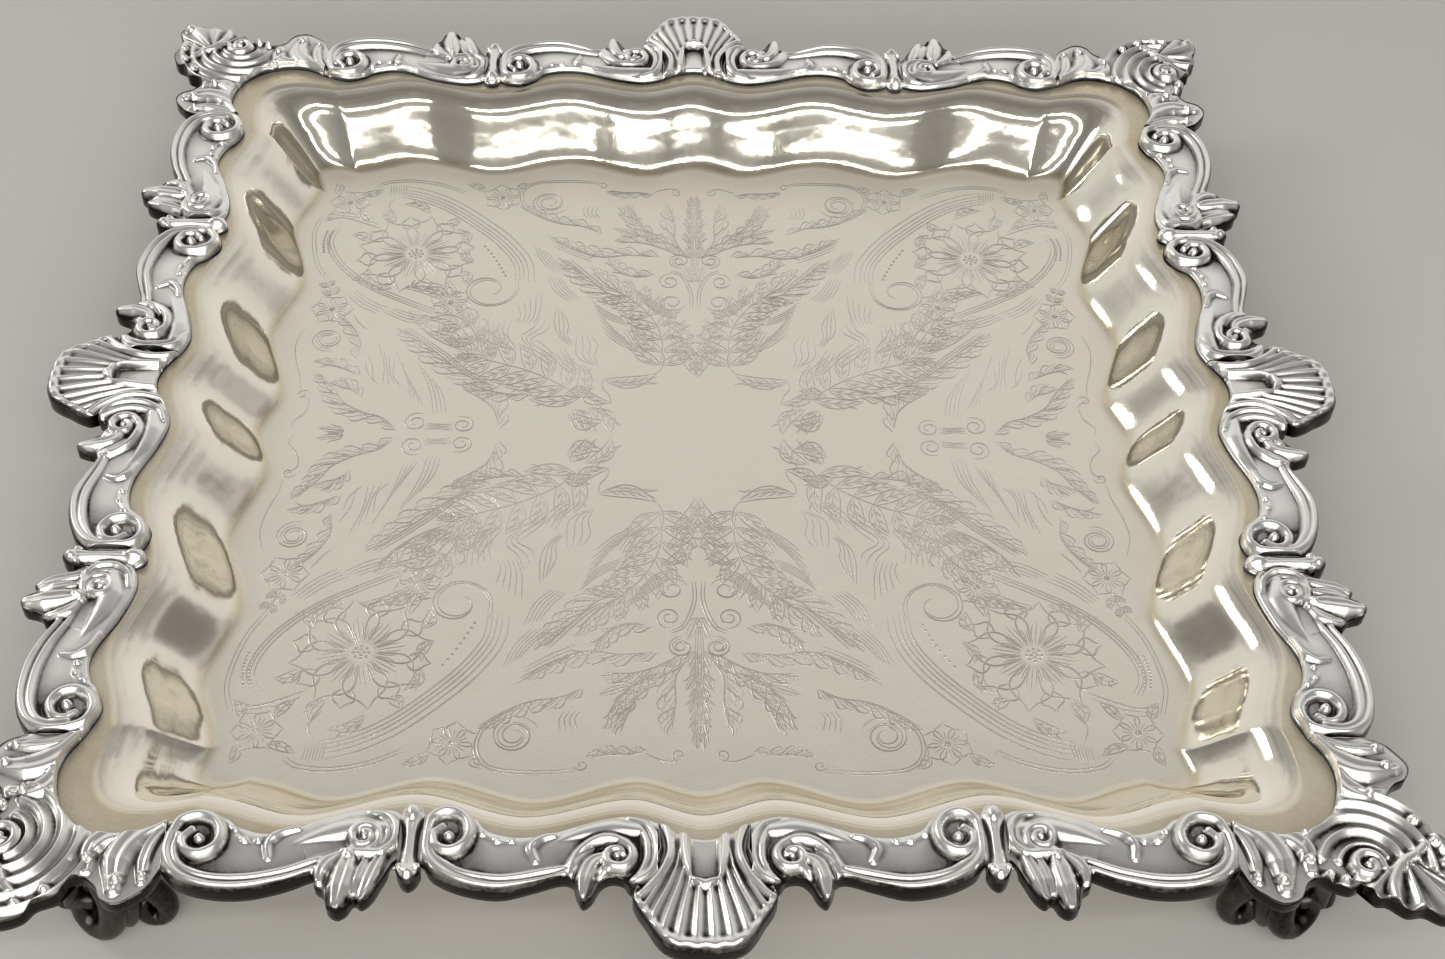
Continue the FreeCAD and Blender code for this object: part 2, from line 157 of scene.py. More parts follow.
def over(low, high, softness=0.12):
    """The higher of two reliefs, with the crease between them softened."""
    return 0.5 * (low + high + np.sqrt((low - high) ** 2 + softness ** 2))


def ridge(relief, x, y, points, widths, tops, hollow=False, count=46):
    """Raises a moulding along a path, round or hollow along its crest. Its half width and its top
    follow the path, and a wide moulding falls further from its crest than a narrow one."""
    distance, along = nearest(smooth_curve(points, count), x, y)
    width = taper(widths, along)
    across = distance / width
    fall = np.clip(0.95 * width * REACH / MM, 0.8, 1.7)
    profile = across ** 2
    if hollow:
        profile = np.where(across < 1, profile + 0.45 * np.exp(-(across / 0.36) ** 2), profile)
    return over(relief, taper(tops, along) - fall * np.minimum(profile, 4))


def bead(relief, x, y, at, radius, top):
    """Raises a round bead."""
    away = np.hypot(x - at[0], y - at[1]) / radius
    return over(relief, top * (1 - 0.75 * away ** 2), 0.1)


def swirl_path(centre, start, turns, outer, inner, hand=1):
    """A spiral that closes in on a centre: start in degrees, hand 1 for anticlockwise."""
    share = np.linspace(0, 1, 12)
    angle = np.radians(start) + hand * turns * 2 * math.pi * share
    radius = outer + (inner - outer) * share
    return [(centre[0] + r * math.cos(a), centre[1] + r * math.sin(a)) for r, a in zip(radius, angle)]


def soften(field, axis):
    """A field with each value blended with its two neighbours along an axis."""
    pad = [(0, 0), (0, 0)]
    pad[axis] = (1, 1)
    wide = np.pad(field, pad, mode="edge")
    size = field.shape[axis]
    before, after = (np.take(wide, range(k, k + size), axis=axis) for k in (0, 2))
    return 0.25 * before + 0.5 * field + 0.25 * after


def box_blur(field, reach):
    """A field averaged over a square window, twice, which comes near to a soft blur."""
    for _ in range(2):
        for axis in (0, 1):
            pad = [(0, 0), (0, 0)]
            pad[axis] = (reach + 1, reach)
            total = np.cumsum(np.pad(field, pad, mode="edge"), axis=axis)
            size = field.shape[axis]
            upper = np.take(total, range(2 * reach + 1, 2 * reach + 1 + size), axis=axis)
            lower = np.take(total, range(0, size), axis=axis)
            field = (upper - lower) / (2 * reach + 1)
    return field


# ---- Meshes

def new_object(name, data):
    """An object linked into the scene."""
    made = bpy.data.objects.new(name, data)
    bpy.context.scene.collection.objects.link(made)
    return made


def mesh_piece(name, vertices, faces, material, replaced, masks):
    """A named piece that rides on the salver, with its masks as point attributes."""
    mesh = bpy.data.meshes.new(name)
    mesh.from_pydata(vertices.tolist(), [], faces)
    mesh.validate()
    for mask, values in masks.items():
        attribute = mesh.attributes.new(mask, "FLOAT", "POINT")
        attribute.data.foreach_set("value", np.asarray(values, np.float32))
    mesh.polygons.foreach_set("use_smooth", [True] * len(mesh.polygons))
    mesh.materials.append(material)
    piece = new_object(name, mesh)
    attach(piece, "root")
    if replaced:
        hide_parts(*replaced)


def grid_faces(rows, columns, start=0, flip=False):
    """Quads over a grid of vertices numbered row by row."""
    first = (np.arange(rows - 1)[:, None] * columns + np.arange(columns - 1)[None, :]).ravel() + start
    quads = np.column_stack([first, first + columns, first + columns + 1, first + 1])
    return (quads[:, ::-1] if flip else quads).tolist()


def turned(points, degrees, hand=1):
    """Points mirrored across the side's middle if hand is -1, then turned about the centre."""
    c, s = math.cos(math.radians(degrees)), math.sin(math.radians(degrees))
    moved = np.array(points, float)
    x, y = moved[:, 0] * hand, moved[:, 1].copy()
    moved[:, 0], moved[:, 1] = c * x - s * y, s * x + c * y
    return moved


def flange_gap(x, y):
    """How far a plan place lies outside the flange's rounded edge, in fractions of the reach."""
    corner = FLANGE_CORNER / REACH
    half = FLANGE_HALF / REACH - corner
    dx, dy = np.abs(x) - half, np.abs(y) - half
    outside = np.hypot(np.maximum(dx, 0), np.maximum(dy, 0)) + np.minimum(np.maximum(dx, dy), 0)
    return outside - corner


class Cast:
    """A cast mount: relief over the strip between an inner and an outer edge, closed underneath.
    Its lip is the height of the outer edge, and past the flange its underside hangs down."""

    LIP = 1.9
    OVERHANG = 1.9
    # How dark the skirt and the underside are painted: painted shade and a painted reflection of the floor
    # below, with patina.
    UNDERSIDE_SHADE_AND_PATINA = 1.4

    def __init__(self, inner, outer, relief):
        step = settings().relief_step / REACH
        length = max(np.linalg.norm(np.diff(smooth_curve(edge, 200), axis=0), axis=1).sum()
                     for edge in (inner, outer))
        width = np.linalg.norm(smooth_curve(inner, 9) - smooth_curve(outer, 9), axis=1).max()
        columns, rows = int(length / step) + 2, int(width / step) + 2
        low, high = smooth_curve(inner, columns), smooth_curve(outer, columns)
        t = np.linspace(0, 1, rows)[:, None]
        x = low[:, 0] * (1 - t) + high[:, 0] * t
        y = low[:, 1] * (1 - t) + high[:, 1] * t
        height = relief(x, y, t * np.ones_like(x))
        for axis in (0, 1):
            height = soften(height, axis)
        edge = np.clip((1 - t) * width / (5.0 * step), 0, 1)
        height = self.LIP + (height - self.LIP) * np.sqrt(1 - (1 - edge) ** 2)
        foot = np.clip(t * width / (3.0 * step), 0, 1)
        height = 0.15 + (height - 0.15) * np.sqrt(1 - (1 - foot) ** 2)
        # Patina darkens the narrow and the wide hollows; the darkening along the outer edge, where the
        # relief rolls down to the lip, is painted shade.
        patina_and_painted_light = np.clip((box_blur(height, 4) - height) / 0.42, 0, 1)
        patina_and_painted_light = np.maximum(patina_and_painted_light, 0.8 * np.clip((box_blur(height, 12) - height) / 0.95, 0, 1))
        patina_and_painted_light = np.maximum(patina_and_painted_light, np.clip(1.35 - edge / 0.55, 0, 1))
        back = np.linspace(1, 0, 10)[:, None]
        under_x = low[:, 0] * (1 - back) + high[:, 0] * back
        under_y = low[:, 1] * (1 - back) + high[:, 1] * back
        beyond = np.clip((flange_gap(under_x, under_y) - 0.004) / 0.010, 0, 1)
        under = 0.02 - self.OVERHANG * beyond ** 2 * (3 - 2 * beyond)
        skirt = np.stack([height[-1] * (1 - k) + under[0] * k for k in (0.35, 0.7)])
        self.x = np.vstack([x, np.repeat(high[None, :, 0], 2, 0), under_x])
        self.y = np.vstack([y, np.repeat(high[None, :, 1], 2, 0), under_y])
        self.height = np.vstack([height, skirt, under])
        # The skirt and the underside are painted dark: painted shade and painted reflection, with patina.
        self.patina_and_painted_light = np.vstack([patina_and_painted_light, np.full_like(skirt, self.UNDERSIDE_SHADE_AND_PATINA),
                                 np.full_like(under, self.UNDERSIDE_SHADE_AND_PATINA)])
        self.rows, self.columns = self.height.shape

    def place(self, name, node, degrees, hand):
        """One copy of the mount, mirrored and turned into place."""
        plan = np.column_stack([self.x.ravel(), self.y.ravel()]) * REACH
        level = SEAT + self.height.ravel() * MM
        vertices = turned(np.column_stack([plan, level]), degrees, hand)
        faces = grid_faces(self.rows, self.columns, flip=hand > 0)
        loop = np.arange(self.rows) * self.columns
        last = loop + self.columns - 1
        closing = [[int(loop[-1] + c), int(loop[-1] + c + 1), c + 1, c] for c in range(self.columns - 1)]
        ends = [loop.tolist(), last[::-1].tolist()]
        if hand > 0:
            closing = [face[::-1] for face in closing]
            ends = [end[::-1] for end in ends]
        mesh_piece(name, vertices, faces + closing + ends, mount_silver(), [node],
                   {"patina_and_painted_light": self.patina_and_painted_light.ravel()})


# ---- The reliefs of the mounts

# Every mount has an edge over the wall and an outline past the flange, both from left to right.
SHELL_INNER = [(-0.0585, 0.813), (-0.030, 0.829), (0.0, 0.836), (0.030, 0.829), (0.0585, 0.813)]
SHELL_OUTER_HALF = [(0.0585, 0.896), (0.079, 0.908), (0.090, 0.921), (0.085, 0.938), (0.073, 0.957),
                    (0.062, 0.976), (0.049, 0.990), (0.028, 0.998), (0.0, 1.0)]
SHELL_RIBS = 10
# The fan of the shell: each level with its half width there.
SHELL_SPREAD = [(0.80, 0.046), (0.85, 0.043), (0.88, 0.050), (0.91, 0.066), (0.94, 0.086),
                (0.97, 0.104), (1.01, 0.120)]

INNER_EDGE = [(0.0592, 0.812), (0.080, 0.804), (0.105, 0.802), (0.150, 0.812), (0.200, 0.830),
              (0.240, 0.834), (0.275, 0.824), (0.292, 0.804), (0.315, 0.789), (0.340, 0.791),
              (0.3545, 0.800)]
INNER_OUTLINE = [(0.0592, 0.896), (0.075, 0.907), (0.092, 0.908), (0.102, 0.896), (0.118, 0.893),
                 (0.131, 0.902), (0.141, 0.921), (0.152, 0.928), (0.160, 0.914), (0.164, 0.899),
                 (0.180, 0.894), (0.215, 0.905), (0.255, 0.915), (0.298, 0.909), (0.335, 0.893),
                 (0.3545, 0.874)]

OUTER_EDGE = [(0.3855, 0.800), (0.400, 0.793), (0.430, 0.791), (0.480, 0.804), (0.520, 0.822),
              (0.555, 0.829), (0.588, 0.819), (0.605, 0.806), (0.635, 0.797), (0.676, 0.811)]
OUTER_OUTLINE = [(0.3855, 0.868), (0.392, 0.876), (0.401, 0.894), (0.412, 0.918), (0.424, 0.929),
                 (0.434, 0.924), (0.442, 0.937), (0.453, 0.943), (0.465, 0.935), (0.472, 0.914),
                 (0.484, 0.904), (0.484, 0.887), (0.520, 0.902), (0.565, 0.914), (0.610, 0.914),
                 (0.650, 0.903), (0.676, 0.882)]

TIE_AT = 0.370
TIE_EDGE = [(-0.0150, 0.799), (-0.0095, 0.789), (0.0, 0.785), (0.0095, 0.789), (0.0150, 0.799)]
TIE_OUTLINE = [(-0.0150, 0.885), (-0.0090, 0.897), (0.0, 0.903), (0.0090, 0.897), (0.0150, 0.885)]

CORNER_EDGE_HALF = [(0.677, 0.812), (0.710, 0.829), (0.745, 0.832), (0.783, 0.820), (0.8035, 0.8035)]
CORNER_OUTLINE = [(0.677, 0.882), (0.687, 0.905), (0.699, 0.917), (0.722, 0.931), (0.742, 0.924),
                  (0.752, 0.906), (0.770, 0.893), (0.787, 0.900), (0.796, 0.920), (0.820, 0.931),
                  (0.834, 0.948), (0.860, 0.957), (0.884, 0.950), (0.905, 0.948), (0.928, 0.957),
                  (0.948, 0.945), (0.951, 0.921), (0.940, 0.900), (0.941, 0.878), (0.926, 0.858),
                  (0.923, 0.842), (0.903, 0.832), (0.909, 0.814), (0.904, 0.796), (0.893, 0.779),
                  (0.901, 0.759), (0.924, 0.745), (0.931, 0.722), (0.917, 0.699), (0.905, 0.687),
                  (0.882, 0.677)]
SWIRL = (0.880, 0.838)


def dish(t, inner, middle, outer, fall=0.0):
    """A hollow ground between a mount's edges: its level at the inner edge, the middle, the outer,
    and how far it falls outwards."""
    ground = middle - fall * (t - 0.4)
    return ground + (inner - ground) * (1 - t) ** 5 + (outer - ground) * t ** 6


def fluting(phase, depth):
    """Hollow flutes that meet in fine crests, one flute to each whole step of the phase."""
    return depth * (1 - np.sqrt(np.sin(math.pi * phase) ** 2 + 0.012))


def shell_relief(x, y, t):
    """Ribs that run out beside a keyhole and fan to a rolled lip."""
    levels, spreads = zip(*SHELL_SPREAD)
    across = np.abs(x) / np.interp(y, levels, spreads)
    phase = across * SHELL_RIBS / 2 + 0.5
    out = np.clip((y - 0.83) / 0.17, 0, 1)
    crown = 2.4 + 1.8 * np.sin(math.pi * np.clip(0.18 + 0.60 * out, 0, 1)) - 0.9 * across ** 2
    relief = crown - 1.0 + fluting(phase, 1.0)
    for hand in (-1, 1):
        side = [(hand * u, v) for u, v in [(0.026, 0.830), (0.0250, 0.856), (0.0210, 0.882),
                                           (0.012, 0.902), (0.0, 0.910)]]
        relief = ridge(relief, x, y, side, (0.0055, 0.0060, 0.0075), (3.6, 4.3, 4.6))
        outer = [(hand * u, v) for u, v in [(0.052, 0.812), (0.0455, 0.836), (0.0440, 0.862),
                                            (0.053, 0.888), (0.068, 0.909), (0.082, 0.923)]]
        relief = ridge(relief, x, y, outer, (0.006, 0.007, 0.006), (3.0, 4.0, 3.4))
    slot = np.clip(1 - (x / 0.0185) ** 2, 0, 1) * np.clip((0.902 - y) / 0.010, 0, 1)
    relief = relief + (1.9 - relief) * np.clip(slot * 3.0, 0, 1)
    lip = np.clip(1 - ((t - 0.945) / 0.055) ** 2, 0, 1) * np.clip((y - 0.915) / 0.02, 0, 1)
    lip_top = 3.1 + 0.7 * np.clip((y - 0.95) / 0.04, 0, 1) - 0.20 * np.cos(2 * math.pi * phase)
    return relief + (lip_top - relief) * np.sqrt(lip) * (lip > 0)


def leaf_lobes(relief, x, y, lobes):
    """A tuft of hollow lobes with raised rims, the later ones over the earlier: path, width, top."""
    for path, width, top in lobes:
        relief = ridge(relief, x, y, path, (width * 0.55, width, width * 0.95, width * 0.55),
                       (top - 0.5, top, top, top - 0.9), hollow=True)
    return relief


def inner_scroll_relief(x, y, t):
    """Two C-scrolls face to face: one rolls into a volute beside the shell, one beside the tie."""
    relief = dish(t, 1.9, 2.05, 1.5, 1.3)
    relief = ridge(relief, x, y, [(0.085, 0.826), (0.115, 0.823), (0.150, 0.829), (0.182, 0.841),
                                  (0.205, 0.853)], (0.012, 0.017, 0.015, 0.010, 0.004),
                   (3.2, 3.5, 3.1, 2.5, 1.6))
    relief = ridge(relief, x, y, [(0.230, 0.847), (0.246, 0.845), (0.264, 0.841), (0.284, 0.829)],
                   (0.004, 0.0055, 0.005), (2.0, 2.5, 2.4))
    for u, v in [(0.243, 0.842), (0.262, 0.842), (0.281, 0.832)]:
        relief = bead(relief, x, y, (u, v), 0.0075, 3.1)
    relief = ridge(relief, x, y, [(0.190, 0.834), (0.207, 0.840), (0.218, 0.853), (0.212, 0.871)],
                   (0.0055, 0.0070, 0.0045), (2.8, 3.4, 2.6))
    for shift, top in ((0.0, 4.0), (0.0115, 3.5)):
        relief = ridge(relief, x, y, [(0.096 + shift, 0.809 + shift / 3), (0.074 + shift, 0.819),
                                      (0.062 + shift, 0.842), (0.0605 + shift, 0.868),
                                      (0.068 + shift, 0.889), (0.084 + shift / 2, 0.903)],
                       (0.0045, 0.0062, 0.0060), (top - 1.2, top, top - 0.2))
    relief = ridge(relief, x, y, swirl_path((0.110, 0.866), 255, 1.15, 0.0215, 0.0085, -1),
                   (0.0075, 0.0070, 0.0050), (3.9, 4.2, 3.6))
    relief = bead(relief, x, y, (0.110, 0.866), 0.0090, 3.9)
    relief = ridge(relief, x, y, [(0.098, 0.846), (0.118, 0.840), (0.140, 0.845), (0.158, 0.860),
                                  (0.172, 0.880)], (0.0065, 0.0085, 0.0075, 0.005), (3.6, 4.2, 3.8, 2.8))
    relief = leaf_lobes(relief, x, y, [
        ([(0.120, 0.878), (0.126, 0.885), (0.131, 0.893)], 0.0080, 3.5),
        ([(0.142, 0.856), (0.158, 0.868), (0.165, 0.882), (0.169, 0.893)], 0.0085, 3.7),
        ([(0.124, 0.866), (0.140, 0.874), (0.149, 0.893), (0.152, 0.922)], 0.0110, 4.3)])
    for top, shift in ((3.5, 0.0), (3.1, -0.0125)):
        relief = ridge(relief, x, y, [(0.166, 0.884 + shift / 2), (0.200, 0.898 + shift),
                                      (0.250, 0.909 + shift), (0.297, 0.903 + shift),
                                      (0.330, 0.886 + shift),
                                      (0.349 + shift / 2, 0.862 + shift / 3), (0.350 + shift / 2, 0.833)],
                       (0.0055, 0.0070, 0.0070, 0.0065), (2.3, top, top + 0.2, top + 0.4))
    relief = ridge(relief, x, y, [(0.350, 0.834), (0.346, 0.810), (0.328, 0.7985), (0.307, 0.806),
                                  (0.297, 0.826), (0.302, 0.847), (0.320, 0.858), (0.338, 0.850),
                                  (0.341, 0.833), (0.331, 0.822)],
                   (0.0065, 0.0080, 0.0075, 0.0050), (3.8, 4.2, 4.2, 3.6), count=70)
    return bead(relief, x, y, (0.322, 0.837), 0.0115, 4.2)


def outer_scroll_relief(x, y, t):
    """The same play of two C-scrolls, longer, with a leaf tuft under the volute beside the tie."""
    relief = dish(t, 1.9, 2.05, 1.5, 1.3)
    relief = ridge(relief, x, y, [(0.405, 0.824), (0.435, 0.822), (0.470, 0.829), (0.505, 0.842),
                                  (0.530, 0.853)], (0.014, 0.019, 0.018, 0.012, 0.004),
                   (3.3, 3.7, 3.3, 2.6, 1.6))
    relief = ridge(relief, x, y, [(0.560, 0.847), (0.572, 0.845), (0.585, 0.837), (0.598, 0.820)],
                   (0.004, 0.0060, 0.0055), (2.0, 2.6, 2.4))
    for u, v, size in [(0.560, 0.842, 0.0070), (0.578, 0.841, 0.0080), (0.590, 0.827, 0.0080)]:
        relief = bead(relief, x, y, (u, v), size, 3.2)
    relief = ridge(relief, x, y, [(0.512, 0.824), (0.533, 0.831), (0.547, 0.846), (0.545, 0.867)],
                   (0.0060, 0.0075, 0.0045), (2.8, 3.5, 2.6))
    for shift, top in ((0.0, 3.9), (0.010, 3.3)):
        relief = ridge(relief, x, y, [(0.425, 0.799 + shift / 2), (0.402 + shift, 0.805),
                                      (0.3895 + shift, 0.824), (0.391 + shift, 0.846),
                                      (0.404 + shift, 0.861 - shift / 2)],
                       (0.004, 0.0055, 0.0055), (top - 1.4, top, top))
    relief = ridge(relief, x, y, swirl_path((0.428, 0.838), 95, 1.5, 0.0215, 0.0070, 1),
                   (0.0050, 0.0060, 0.0050), (3.6, 4.0, 3.7), count=70)
    relief = bead(relief, x, y, (0.428, 0.838), 0.0080, 4.0)
    relief = ridge(relief, x, y, [(0.398, 0.855), (0.413, 0.862), (0.435, 0.860), (0.452, 0.858)],
                   (0.006, 0.0075, 0.005), (3.6, 3.9, 3.4))
    relief = leaf_lobes(relief, x, y, [
        ([(0.402, 0.858), (0.411, 0.882), (0.418, 0.906), (0.424, 0.924)], 0.0105, 3.9),
        ([(0.456, 0.862), (0.470, 0.874), (0.477, 0.888), (0.478, 0.900)], 0.0105, 3.8),
        ([(0.422, 0.866), (0.426, 0.884), (0.430, 0.902), (0.434, 0.918)], 0.0080, 3.6),
        ([(0.442, 0.858), (0.447, 0.882), (0.452, 0.912), (0.454, 0.937)], 0.0145, 4.4)])
    relief = bead(relief, x, y, (0.444, 0.866), 0.0105, 4.5)
    for top, shift in ((3.5, 0.0), (3.1, -0.0125)):
        relief = ridge(relief, x, y, [(0.458, 0.866 + shift / 2), (0.490, 0.884 + shift),
                                      (0.530, 0.900 + shift), (0.575, 0.9085 + shift),
                                      (0.620, 0.906 + shift),
                                      (0.655 + shift / 3, 0.890 + shift * 0.8),
                                      (0.671 + shift * 0.7, 0.863 + shift / 3),
                                      (0.670 + shift * 0.8, 0.835)],
                       (0.0055, 0.0070, 0.0070, 0.0065), (2.4, top, top + 0.2, top + 0.4))
    relief = ridge(relief, x, y, [(0.670, 0.836), (0.661, 0.814), (0.641, 0.8055), (0.620, 0.812),
                                  (0.608, 0.831), (0.612, 0.852), (0.630, 0.863), (0.649, 0.856),
                                  (0.654, 0.840), (0.645, 0.827)],
                   (0.0065, 0.0080, 0.0075, 0.0050), (3.8, 4.2, 4.2, 3.6), count=70)
    return bead(relief, x, y, (0.633, 0.841), 0.0115, 4.2)


def tie_relief(x, y, t):
    """A waisted husk: a small fluted shell at its inner end, a spread foot at its outer end."""
    u = x - TIE_AT
    waist = 0.0082 + 0.0050 * np.clip((0.835 - y) / 0.03, 0, 1) + 0.0045 * np.clip((y - 0.865) / 0.02, 0, 1)
    stem = 3.7 - 1.3 * (u / waist) ** 2 - 0.5 * np.exp(-(u / 0.0025) ** 2)
    relief = over(1.9 + 0 * x, stem)
    fan = np.arctan2(u, 0.832 - y)
    head = 4.4 - 0.9 * (1 - np.abs(np.cos(4.2 * fan))) - 1.6 * (np.hypot(u, y - 0.803) / 0.0145) ** 3
    relief = over(relief, head)
    relief = bead(relief, x, y, (TIE_AT, 0.890), 0.0150, 4.2)
    for hand in (-1, 1):
        relief = bead(relief, x, y, (TIE_AT + hand * 0.0105, 0.882), 0.0095, 3.9)
    return relief


def corner_relief(x, y, t):
    """A leaf along each arm, and rocaille flutes that wrap round a swirl beside the corner."""
    relief = dish(t, 1.9, 1.9, 1.6)
    for a, b in ((x, y), (y, x)):
        leaf = [([(0.679, 0.822), (0.692, 0.846), (0.697, 0.872), (0.696, 0.900)], 0.0105, 3.6),
                ([(0.700, 0.829), (0.745, 0.834), (0.766, 0.854), (0.766, 0.884)], 0.0160, 3.8),
                ([(0.684, 0.816), (0.714, 0.836), (0.730, 0.868), (0.728, 0.912)], 0.0185, 4.3)]
        relief = leaf_lobes(relief, a, b, leaf)
        relief = bead(relief, a, b, (0.726, 0.899), 0.0120, 4.4)
        relief = bead(relief, a, b, (0.767, 0.868), 0.0100, 4.2)
        relief = bead(relief, a, b, (0.695, 0.893), 0.0085, 3.8)
    angle = np.degrees(np.arctan2(y - SWIRL[1], x - SWIRL[0])) % 360
    radius = np.hypot(x - SWIRL[0], y - SWIRL[1])
    open_out = np.clip((angle - 60) / 210, 0, 1)
    wound = radius / (1.0 + 0.30 * open_out)
    phase = (wound - 0.027) / 0.0185
    inside = np.clip((angle - 50) / 25, 0, 1) * np.clip((282 - angle) / 25, 0, 1)
    inside = inside * np.clip((radius - 0.020) / 0.01, 0, 1) * np.clip((0.125 - wound) / 0.012, 0, 1)
    hinge = (0.866, 0.886)
    turn = np.degrees(np.arctan2(y - hinge[1], x - hinge[0]))
    far = np.hypot(x - hinge[0], y - hinge[1])
    fan = np.clip((turn + 76) / 10, 0, 1) * np.clip((62 - turn) / 10, 0, 1)
    fan = fan * np.clip((far - 0.006) / 0.01, 0, 1)
    inside = inside * (1 - fan)
    swell = 4.4 - 0.9 * open_out - 10 * (wound - 0.05) ** 2 / 0.05
    relief = over(relief, (swell - 1.7 + fluting(phase, 1.7)) * inside + (1 - inside) * -1)
    rays = 4.5 - 12 * far - 1.6 + fluting((turn + 72) / 26.0, 1.6)
    relief = over(relief, rays * fan + (1 - fan) * -1)
    relief = ridge(relief, x, y, [(0.846, 0.921), (0.862, 0.904), (0.876, 0.883), (0.902, 0.866),
                                  (0.928, 0.864)], (0.006, 0.0085, 0.0075), (3.6, 4.4, 3.8))
    relief = ridge(relief, x, y, swirl_path(SWIRL, 80, 1.15, 0.0210, 0.0090), (0.0065, 0.0070, 0.0055),
                   (3.9, 4.4, 4.0))
    relief = bead(relief, x, y, SWIRL, 0.0100, 4.3)
    relief = bead(relief, x, y, (0.938, 0.938), 0.0150, 3.9)
    for u, v, size in [(0.898, 0.806, 0.0100), (0.890, 0.788, 0.0095), (0.810, 0.914, 0.0110),
                       (0.842, 0.934, 0.0115), (0.873, 0.940, 0.0115), (0.829, 0.768, 0.0085)]:
        relief = bead(relief, x, y, (u, v), size, 4.0)
    return relief


def place_on_sides(cast, piece, node):
    """Two copies of a mount on every side, one the mirror image of the other."""
    for side, degrees, minus_end, plus_end in SIDES:
        for hand, end in ((-1, minus_end), (1, plus_end)):
            cast.place(f"{piece}_{side}_{end}", f"{node}_{side}_{end}", degrees, hand)


def build_shells():
    """The same shell at the middle of every side."""
    outer = [(-u, v) for u, v in SHELL_OUTER_HALF] + SHELL_OUTER_HALF[-2::-1]
    cast = Cast(SHELL_INNER, outer, shell_relief)
    for side, degrees, _, _ in SIDES:
        cast.place(f"shell_cast_{side}", f"shell_mount_{side}", degrees, 1)


def build_corners():
    """The same mount round every corner."""
    inner = CORNER_EDGE_HALF + [(v, u) for u, v in CORNER_EDGE_HALF[-2::-1]]
    cast = Cast(inner, CORNER_OUTLINE, corner_relief)
    for corner, degrees in CORNERS:
        cast.place(f"corner_cast_{corner}", f"corner_mount_{corner}", degrees, 1)


# ---- The tray

# The wall's crests and hollows along half a side: each one's place at the foot and at the rim, and
# how far it swings out there. The diagonal has a swing at the foot and a flare towards the rim.
FLUTES = [(0.0, 0.0, 0.3, 1.0), (0.085, 0.095, -1.0, -0.4), (0.225, 0.230, 1.0, 1.0),
          (0.365, 0.375, -1.0, -1.0), (0.500, 0.525, 0.8, 0.9), (0.610, 0.655, -1.0, -0.8)]
DIAGONAL_SWING, DIAGONAL_FLARE = 0.5, 0.9
FLUTE_CREASE = 0.60
FLUTE_FOLD = 0.985
FLOOR_HALF, RIM_HALF = 115 * MM, 136 * MM
FLOOR_CORNER, RIM_CORNER = 12 * MM, 24 * MM
FLUTE_SWING = 3.0 * MM
# How far out from the wall's foot and how high, in millimetres.
WALL_PROFILE = [(0.0, 0.0), (1.0, 0.12), (2.6, 0.95), (5.4, 3.9), (9.6, 9.3), (13.4, 14.3),
                (16.4, 16.9), (18.6, 17.75), (19.6, 17.9), (20.3, 18.42), (21.0, 18.5)]
ROUNDING = 0.15 * MM
# The floor's outlines, as shares of the way in from the wall's foot to the middle.
FLOOR_STEPS = (-0.999, -0.75, -0.5, -0.3, -0.16, -0.10, -0.06, -0.035, -0.018, -0.008)
FLOOR_RINGS = len(FLOOR_STEPS)


def tray_ring(half, corner, swing, share, count):
    """One closed outline of the tray, a rounded square whose sides swing in and out as flutes. The
    share runs from 0 at the wall's foot to 1 at its rim."""
    straight = half - corner
    length = straight + corner * math.pi / 4
    along = np.linspace(0, length, count + 1)
    angle = np.clip((along - straight) / corner, 0, None)
    x = np.where(angle > 0, straight + corner * np.sin(angle), along)
    y = np.where(angle > 0, straight + corner * np.cos(angle), half)
    places = [(low + (high - low) * share) * REACH for low, high, _, _ in FLUTES] + [length]
    swings = [low + (high - low) * share for _, _, low, high in FLUTES]
    swings.append(DIAGONAL_SWING + DIAGONAL_FLARE * share)
    index = np.clip(np.searchsorted(places, along, side="right") - 1, 0, len(FLUTES) - 1)
    places, swings = np.array(places), np.array(swings)
    turn = (along - places[index]) / (places[index + 1] - places[index])
    crease = np.arcsin(FLUTE_CREASE * np.cos(math.pi * turn)) / math.asin(FLUTE_CREASE)
    fold = np.arcsin(FLUTE_FOLD * np.cos(math.pi * turn)) / math.asin(FLUTE_FOLD)
    by_fold = np.clip(np.where(index == len(FLUTES) - 1, 1 - 2 * turn, 2 * turn - 1), 0, 1)
    crease = np.where(index >= len(FLUTES) - 2, crease + (fold - crease) * by_fold, crease)
    moved = swing * ((swings[index] + swings[index + 1]) / 2
                     + crease * (swings[index] - swings[index + 1]) / 2)
    x, y = x + moved * np.sin(angle), y + moved * np.cos(angle)
    quarter = np.vstack([np.column_stack([-x, y])[:0:-1], np.column_stack([x, y])[:-1]])
    return np.vstack([turned(quarter, -90 * side) for side in range(4)])


def wall_ring(out, count, thicker=0.0):
    """An outline of the wall, a distance out from the foot of the wall."""
    share = min(out / (RIM_HALF - FLOOR_HALF), 1.0)
    corner = FLOOR_CORNER + (RIM_CORNER - FLOOR_CORNER) * share + thicker
    return tray_ring(FLOOR_HALF + out + thicker, corner, FLUTE_SWING, share, count)


